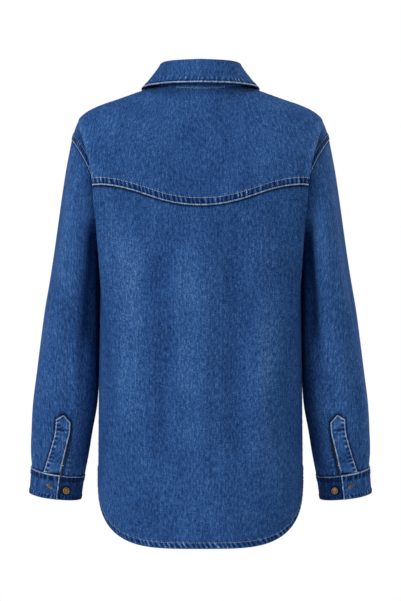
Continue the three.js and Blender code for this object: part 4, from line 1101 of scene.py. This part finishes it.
sleeves, cuffs, plackets, bindings = {}, {}, {}, {}
for hand, sign in (("left", 1), ("right", -1)):
    mirror = np.array([sign, 1, 1])
    piece, outer = shell(
        f"sleeve_cloth_{hand}", sleeve_grid * mirror, CLOTH, -sign, DENIM, relief, wear_and_shade, closed_rows
    )
    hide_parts(f"sleeve_{hand}")
    sleeves[hand] = piece
    grid = cuff_grid * mirror
    piece, outer = shell(f"cuff_cloth_{hand}", grid, CUFF["thick"], sign, DENIM, cuff_relief, cuff_wear_and_shade)
    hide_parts(f"cuff_{hand}")
    rows = [("top", 1.5), ("start", 1.5), ("end", 1.5)]
    cuffs[hand] = (piece, thread_piece(f"cuff_thread_{hand}", stitch_rows(grid, outer, sign, rows), THREAD))
    grid = placket_grid * mirror
    piece, outer = shell(
        f"placket_cloth_{hand}", grid, PLACKET["thick"], -sign, DENIM, 0.6 * placket_relief, placket_wear
    )
    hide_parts(f"sleeve_placket_{hand}")
    rows = [("start", 1.3), ("end", 1.3), ("top", 1.3)]
    plackets[hand] = (piece, thread_piece(f"placket_thread_{hand}", stitch_rows(grid, outer, -sign, rows), THREAD))
    grid = binding_grid * mirror
    piece, outer = shell(f"binding_cloth_{hand}", grid, 1.0, -sign, DENIM, 0.4 * binding_relief, binding_wear_and_shade)
    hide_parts(f"placket_binding_{hand}")
    bindings[hand] = (piece, thread_piece(f"binding_thread_{hand}", stitch_rows(grid, outer, -sign, [("end", 1.5)]), DARK_THREAD))

# %% [markdown]
# ## Collar
# The stand is a strip that leans in from the neck seam. The leaf rolls over its top edge and
# falls outwards to a stitched edge with small upright puckers.

# %% Make stand and leaf
STAND = {"back": 41.9, "side": 28.2, "front": 27, "bend": 1.5, "lean": 0.35, "lap": 11}
LEAF_EDGE = [  # turn, x, y, z
    (0, 0, 74.5, 8.5), (30, 43, 66, 8.5), (60, 75, 41, 7.8), (85, 90, 6, 6.8), (108, 90, -32, 1.5),
    (124, 84, -61, -17), (140, 75, -89, -41), (154, 66, -101, -64), (168, 54, -109, -87),
]
ROLL = 3.0


def stand_point(turn, up, out):
    """The stand: from the neck seam up a line that leans in, moved out by a given amount."""
    ahead = np.clip((turn - 90) / 90, 0, 1)
    behind = lerp(STAND["back"], STAND["side"], np.clip(turn / 90, 0, 1) ** STAND["bend"])
    rise = np.where(turn > 90, lerp(STAND["side"], STAND["front"], ahead), behind)
    a = np.radians(turn)
    outward = place(np.sin(a), np.cos(a), 0)
    lean = unit(place(0, 0, 1) - STAND["lean"] * outward)
    lean = unit(lean + place(0, 0.12 * ahead, 0))
    base = neck_point(turn) + [0, 0, SEAM_GAP + 0.8]
    return base + lean * (rise * up)[..., None] + outward * np.asarray(out)[..., None]


def over_end(turn):
    """How far the right end stands out to lie over the left one."""
    return np.where(turn < 0, OVER_RISE * ease((-turn - 180 + 2 * STAND["lap"]) / STAND["lap"]), 0)


def signed_stand(turn, up):
    """The stand on both sides: negative turns are on the wearer's right."""
    return mirror_by(turn, stand_point(np.abs(turn), up, over_end(turn)))


def leaf_point(signed_turn, down):
    """The leaf: a quarter roll over the stand's top, then a curve drawn to the edge's table."""
    turn = np.abs(signed_turn)
    start = stand_point(turn, np.ones_like(turn), over_end(signed_turn)) + [0, 0, SEAM_GAP + 0.8]
    a = np.radians(turn)
    outward = place(np.sin(a), np.cos(a), 0)
    bend = np.clip(down / 0.25, 0, 1) * np.pi / 2
    rolled = start + outward * (ROLL * (1 - np.cos(bend)))[..., None] + place(0, 0, ROLL * np.sin(bend))
    crest = start + outward * ROLL + [0, 0, ROLL]
    pull = crest + [0, 0, -3]
    fall = np.clip((down - 0.25) / 0.75, 0, 1)[..., None]
    fallen = (1 - fall) ** 2 * crest + 2 * fall * (1 - fall) * pull + fall**2 * read(LEAF_EDGE, turn)
    return mirror_by(signed_turn, np.where((down <= 0.25)[..., None], rolled, fallen))


stand_turns = np.linspace(-(180 + STAND["lap"]), 180 + STAND["lap"], 240)
t, u = np.meshgrid(stand_turns, np.append(np.linspace(1, 0, 14), -0.04))
stand_grid = signed_stand(t, u)
stand_relief, stand_wear = seam_finish(stand_grid, [{"edge": "bottom", "depth": 3, "edge_wear": 0.25, "force": 0.3, "seed": 91}])
stand, outer = shell("stand_cloth", stand_grid, 2.2, 1, DENIM, 0.4 * stand_relief, stand_wear)
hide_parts("collar_stand")
stand_thread = thread_piece("stand_thread", stitch_rows(stand_grid, outer, 1, [("bottom", 3.4)]), DARK_THREAD)

leaf_turns = -168 + 336 * spread(560, 10, 10, 1.0, 2.0)
leaf_downs = np.concatenate([np.linspace(0, 0.25, 8)[:-1], 0.25 + 0.75 * spread(42, 0, 14, 1.0, 2.0)])
t, d = np.meshgrid(leaf_turns, leaf_downs)
leaf_grid = leaf_point(t, d)
leaf_seams = [
    # the bottom edge's groove value is painted shade just inside the rubbed bead
    {"edge": "bottom", "depth": 10, "rise": 0.3, "edge_wear": 0.95, "line": 1.9, "pitch": 7.7, "lean": 0.15, "force": 0.9, "bias": -0.35, "seed": 95, "groove": 0.9, "bead": 1.1},
    {"edge": "start", "depth": 6, "rise": 0.3, "edge_wear": 0.8, "pitch": 8, "force": 0.6, "seed": 97},
    {"edge": "end", "depth": 6, "rise": 0.3, "edge_wear": 0.8, "pitch": 8, "force": 0.6, "seed": 99},
]
leaf_relief, leaf_wear_and_shade = seam_finish(leaf_grid, leaf_seams)
leaf_wear_and_shade = leaf_wear_and_shade - 0.04
leaf_thick = 2.2 - 1.9 * (1 - ease(edge_lengths(leaf_grid)["bottom"][0] / 4))
leaf, outer = shell("leaf_cloth", leaf_grid, leaf_thick, 1, DENIM, leaf_relief, leaf_wear_and_shade)
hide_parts("collar_leaf")
leaf_thread = thread_piece("leaf_thread", stitch_rows(leaf_grid, outer, 1, [("bottom", 1.7), ("start", 1.7), ("end", 1.7)]), THREAD)

# %% [markdown]
# ## Buttons
# Tack buttons in antique brass: a turned head with a raised rim, a groove and a low dome.

# %% Turn the buttons
BUTTON = {"radius": 5.25, "height": 3.6}
BUTTON_PROFILE = [  # share of the radius, share of the height, how rubbed
    (0, 0, 0), (0.5, 0, 0), (0.56, 0.14, 0), (0.86, 0.2, 0), (0.97, 0.32, 0.4), (1, 0.5, 0.8), (0.985, 0.7, 1),
    (0.93, 0.88, 1), (0.86, 0.95, 1), (0.79, 0.9, 0.6), (0.74, 0.76, 0.1), (0.68, 0.72, 0), (0.6, 0.78, 0.3),
    (0.45, 0.84, 0.5), (0.25, 0.88, 0.6), (0, 0.9, 0.6),
]


def button(name, node_name, point, normal):
    """A profile turned about the normal that stands on a point of the cloth."""
    profile = np.array(BUTTON_PROFILE)
    normal = unit(np.asarray(normal, float))
    side = unit(np.cross(normal, [0, 0, 1.0]))
    other = np.cross(normal, side)
    ring = np.arange(40) * 2 * np.pi / 40
    spoke = side * np.cos(ring)[:, None] + other * np.sin(ring)[:, None]
    points = (
        point
        + normal * SEAM_GAP
        + spoke[None] * (profile[:, 0] * BUTTON["radius"])[:, None, None]
        + normal * (profile[:, 1] * BUTTON["height"])[:, None, None]
    )
    points[0], points[-1] = points[0].mean(0), points[-1].mean(0)
    rows, k = len(profile), np.arange(40)
    index = np.arange(rows * 40).reshape(rows, 40)
    index[0], index[-1] = index[0, 0], index[-1, 0]
    quads = [np.stack([index[r, k], index[r, (k + 1) % 40], index[r + 1, (k + 1) % 40], index[r + 1, k]], 1) for r in range(1, rows - 2)]
    faces = np.concatenate(quads).tolist()
    faces += [[index[0, 0], index[1, (i + 1) % 40], index[1, i]] for i in range(40)]
    faces += [[index[-1, 0], index[-2, i], index[-2, (i + 1) % 40]] for i in range(40)]
    used = np.unique(np.concatenate([np.ravel(f) for f in faces]))
    renumber = np.zeros(rows * 40, int)
    renumber[used] = np.arange(len(used))
    mesh = bpy.data.meshes.new(name)
    mesh.from_pydata(points.reshape(-1, 3)[used] * MM, [], [renumber[f].tolist() for f in faces])
    rub = np.repeat(profile[:, 2], 40)[used]
    mesh.attributes.new("rub", "FLOAT", "POINT").data.foreach_set("value", rub.astype(np.float32))
    mesh.polygons.foreach_set("use_smooth", np.ones(len(mesh.polygons), bool))
    mesh.materials.append(BRASS)
    piece = bpy.data.objects.new(name, mesh)
    bpy.context.scene.collection.objects.link(piece)
    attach(piece, "root")
    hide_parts(node_name)
    return piece


middle = np.argmin(np.abs(band_shares))
column = band_grid[:, middle]
band_normals = facing_of(band_grid, 1)[:, middle]
for number, z in enumerate((-112, -196, -280, -364, -448, -532), 1):
    row = np.argmin(np.abs(column[:, 2] - z))
    button(f"button_front_{number}", f"front_button_{number}", column[row], band_normals[row])
stand_face = signed_stand(np.array(-180.0), np.array(0.5))
slope = signed_stand(np.array(-180.0), np.array(0.9)) - signed_stand(np.array(-180.0), np.array(0.1))
stand_normal = unit(np.array([0, -slope[2], slope[1]]))
button("button_collar", "collar_button", stand_face + SEAM_GAP * stand_normal, stand_normal)
for hand, sign in (("left", 1), ("right", -1)):
    seat_at = np.array(CUFF["button_turn"]), np.array(CUFF["button_down"])
    seat = cuff_point(*seat_at, 0.0)
    normal = cuff_point(*seat_at, 1.0) - seat
    button(f"button_cuff_{hand}", f"cuff_button_{hand}", seat * [sign, 1, 1], normal * [sign, 1, 1])

# %% [markdown]
# ## Buttonholes
# A buttonhole is a slit edged with close bars of thread; the slit itself is a dark sheet of
# painted shadow. Those in the cuffs show, because the cuffs are undone. Those in the band run
# on below their buttons.

# %% Work the buttonholes
def slit_shadow_material():
    """A painted shadow: a dark sheet for the shade inside a slit, a little uneven."""
    material, tree, shader = new_material("slit_shade")
    body = node(tree, "ShaderNodeTexCoord").outputs["Object"]
    ramp = node(tree, "ShaderNodeValToRGB", {"Fac": noise(tree, scaled(tree, body, (500, 500, 500)))})
    ramp.color_ramp.elements[0].color = (0.002, 0.004, 0.012, 1)
    ramp.color_ramp.elements[1].color = (0.02, 0.03, 0.06, 1)
    tree.links.new(ramp.outputs[0], shader.inputs["Base Color"])
    shader.inputs["Roughness"].default_value = 0.95
    return material


SLIT_SHADE = slit_shadow_material()
TAN_THREAD = thread_cotton("tan_thread", (0.11, 0.09, 0.07), (0.34, 0.27, 0.17))


def buttonholes(name, places, length):
    """Bars of thread across both sides of each slit, and a dark sheet of painted shadow in it. A place is a point, a
    way along and a normal.
    """
    bars, points, faces = [], [], []
    turn = np.arange(12) * 2 * np.pi / 12
    for number, (centre, along, up) in enumerate(places):
        along, up = unit(np.asarray(along, float)), unit(np.asarray(up, float))
        side = np.cross(up, along)
        at = np.arange(-length / 2, length / 2 + 0.1, 0.8)[:, None]
        apart = 0.3 + 1.1 * np.sqrt(np.clip(1 - (2 * at / length) ** 2, 0, 1))
        for hand in (-1, 1):
            bars.append((centre + at * along + hand * apart * side + 0.2 * up, side, up))
        # the slit: a dark lens of painted shadow lying just over the cloth
        lens = np.cos(turn)[:, None] * along * length / 2 + np.sin(turn)[:, None] * side * 1.0
        points.append(centre + lens + 0.35 * up)
        faces.append(list(range(12 * number, 12 * number + 12)))
    slit_shadows = mesh_piece(f"{name}_slit", np.concatenate(points), np.array(faces), SLIT_SHADE)
    threads, mesh_faces, start = [], [], 0
    for where, side, up in bars:
        whole = np.ones((len(where), 1))
        made, quads, caps = capsules(where, side * whole, up * whole, 1.9, 0.42)
        threads.append(made)
        mesh_faces += (quads + start).tolist() + (caps + start).tolist()
        start += len(made)
    mesh = bpy.data.meshes.new(f"{name}_bars")
    mesh.from_pydata(np.concatenate(threads) * MM, [], mesh_faces)
    mesh.polygons.foreach_set("use_smooth", np.ones(len(mesh.polygons), bool))
    mesh.materials.append(TAN_THREAD)
    piece = bpy.data.objects.new(f"{name}_bars", mesh)
    bpy.context.scene.collection.objects.link(piece)
    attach(piece, "root")
    return [slit_shadows, piece]


def cuff_place(turn, down, sign):
    """A place on the cuff's over end, with its way round and its normal."""
    mirror = np.array([sign, 1, 1])
    lift = CUFF["lift"] * ease((turn - 40) / 40)
    point = cuff_point(np.array(turn), np.array(down), lift)
    ahead = cuff_point(np.array(turn + 2.0), np.array(down + 0.014), lift) - point
    return point * mirror, ahead * mirror, (cuff_point(np.array(turn), np.array(down), lift + 1) - point) * mirror


holes = {hand: buttonholes(f"cuff_hole_{hand}", [cuff_place(HOLE["turn"], HOLE["down"], sign)], HOLE["length"]) for hand, sign in (("left", 1), ("right", -1))}
band_places = []
for z in (-112, -196, -280, -364, -448, -532):
    row = np.argmin(np.abs(column[:, 2] - z + 5))
    band_places.append((column[row], column[row] - column[row + 1], band_normals[row]))
band_holes = buttonholes("band_hole", band_places, 15)
print("buttonholes", len(band_places) + 2)

# %% [markdown]
# ## What each piece of cloth was cut to
# The flat size of each piece is measured on its grid and stated here as it would be cut.

# %% State the cuts
def cut_of(grid):
    """Greatest width and length of a grid, and its area, in metres and square metres."""
    across, down = run_across(grid), run_down(grid)
    one, two = grid[1:, 1:] - grid[:-1, :-1], grid[1:, :-1] - grid[:-1, 1:]
    area = np.linalg.norm(np.cross(one, two), axis=-1).sum() / 2
    return across[:, -1].max() * MM, down[-1].max() * MM, area * MM * MM


for name, grid in {
    "yoke": yoke_grid, "back": back_grid, "front": front_grid(front_shares, 0.0), "band": band_grid, "sleeve": sleeve_grid,
    "cuff": cuff_grid, "placket": placket_grid, "binding": binding_grid, "stand": stand_grid, "leaf": leaf_grid,
}.items():
    print("cut", name, [round(float(v), 4) for v in cut_of(grid)])

SHEETS = [  # piece, flat width, flat length, flat area, how it is held, what holds it, pieces on it
    (yoke, 0.55, 0.245, 0.0858, "draped", [], [yoke_thread, yoke_inner_thread]),
    (back, 0.525, 0.54, 0.2284, "hung", [yoke], [back_thread]),
    (band, 0.044, 0.633, 0.0182, "laid", [fronts["right"][0]], [band_thread, *band_holes]),
    (stand, 0.50, 0.044, 0.0137, "draped", [yoke], [stand_thread]),
    (leaf, 0.58, 0.0955, 0.0259, "folded", [stand], [leaf_thread]),
]
for hand in ("left", "right"):
    front, front_thread = fronts[hand]
    cuff, cuff_thread = cuffs[hand]
    placket, placket_thread = plackets[hand]
    binding, binding_thread = bindings[hand]
    sleeve = sleeves[hand]
    SHEETS += [
        (front, 0.308, 0.738, 0.1508, "hung", [yoke], [front_thread]),
        (sleeve, 0.51, 0.51, 0.1533, "hung", [yoke, back, front], []),
        (cuff, 0.286, 0.0414, 0.0110, "draped", [sleeve], [cuff_thread, *holes[hand]]),
        (placket, 0.029, 0.092, 0.0020, "laid", [sleeve], [placket_thread]),
        (binding, 0.015, 0.047, 0.0004, "laid", [sleeve], [binding_thread]),
    ]
print("sheets", len(SHEETS))

# %% [markdown]
# ## Light, floor and camera
# A white room with a large soft light from the left, a weaker one from the right, and the same
# on the other side, so that every view is lit. The camera stands 3.2 m behind the shirt.

# %% Light the room
def area_light(name, where, aim, size, power):
    """A large soft lamp at a place, turned towards a point."""
    lamp = bpy.data.lights.new(name, "AREA")
    lamp.shape, lamp.size, lamp.energy = "DISK", size, power
    holder = bpy.data.objects.new(name, lamp)
    holder.location = where
    holder.rotation_euler = (Vector(aim) - Vector(where)).to_track_quat("-Z", "Y").to_euler()
    bpy.context.scene.collection.objects.link(holder)


centre = (0, 0, -0.32)
area_light("key_back", (2.9, 2.5, 0.9), centre, 1.6, 92)
area_light("fill_back", (-2.5, 2.8, 0.3), centre, 1.8, 25)
area_light("key_front", (-2.9, -2.5, 0.9), centre, 1.6, 70)
area_light("fill_front", (2.5, -2.8, 0.3), centre, 1.8, 25)
area_light("top", (0, 0.3, 2.6), centre, 1.8, 26)

world = bpy.data.worlds.new("white_room")
world.use_nodes = True
bpy.context.scene.world = world
tree = world.node_tree
tree.nodes.clear()
soft = node(tree, "ShaderNodeBackground", {"Color": (1, 1, 1, 1), "Strength": 0.21})
seen = node(tree, "ShaderNodeBackground", {"Color": (1, 1, 1, 1), "Strength": 1.0})
path = node(tree, "ShaderNodeLightPath")
mix = node(tree, "ShaderNodeMixShader", {0: path.outputs["Is Camera Ray"], 1: soft.outputs[0], 2: seen.outputs[0]})
node(tree, "ShaderNodeOutputWorld", {"Surface": mix.outputs[0]})
bpy.context.scene.view_settings.view_transform = "Standard"

# %% Floor and camera
floor_mesh = bpy.data.meshes.new("floor")
ring = np.linspace(0, 2 * np.pi, 65)[:-1]
floor_mesh.from_pydata(place(3.2 * np.cos(ring), 3.2 * np.sin(ring), -1.45), [], [list(range(64))])
floor_material, _, floor_shader = new_material("pale_floor")
floor_shader.inputs["Base Color"].default_value = (0.86, 0.86, 0.86, 1)
floor_shader.inputs["Roughness"].default_value = 0.9
floor_mesh.materials.append(floor_material)
floor = bpy.data.objects.new("floor", floor_mesh)
bpy.context.scene.collection.objects.link(floor)

camera_data = bpy.data.cameras.new("camera")
camera_data.sensor_width = 36
camera_data.lens = 36 * 3200 / (601 * 1.55)
camera = bpy.data.objects.new("camera", camera_data)
camera.location = (0, 3.2, -0.322)
camera.rotation_euler = (np.pi / 2, 0, np.pi)
bpy.context.scene.collection.objects.link(camera)
bpy.context.scene.camera = camera
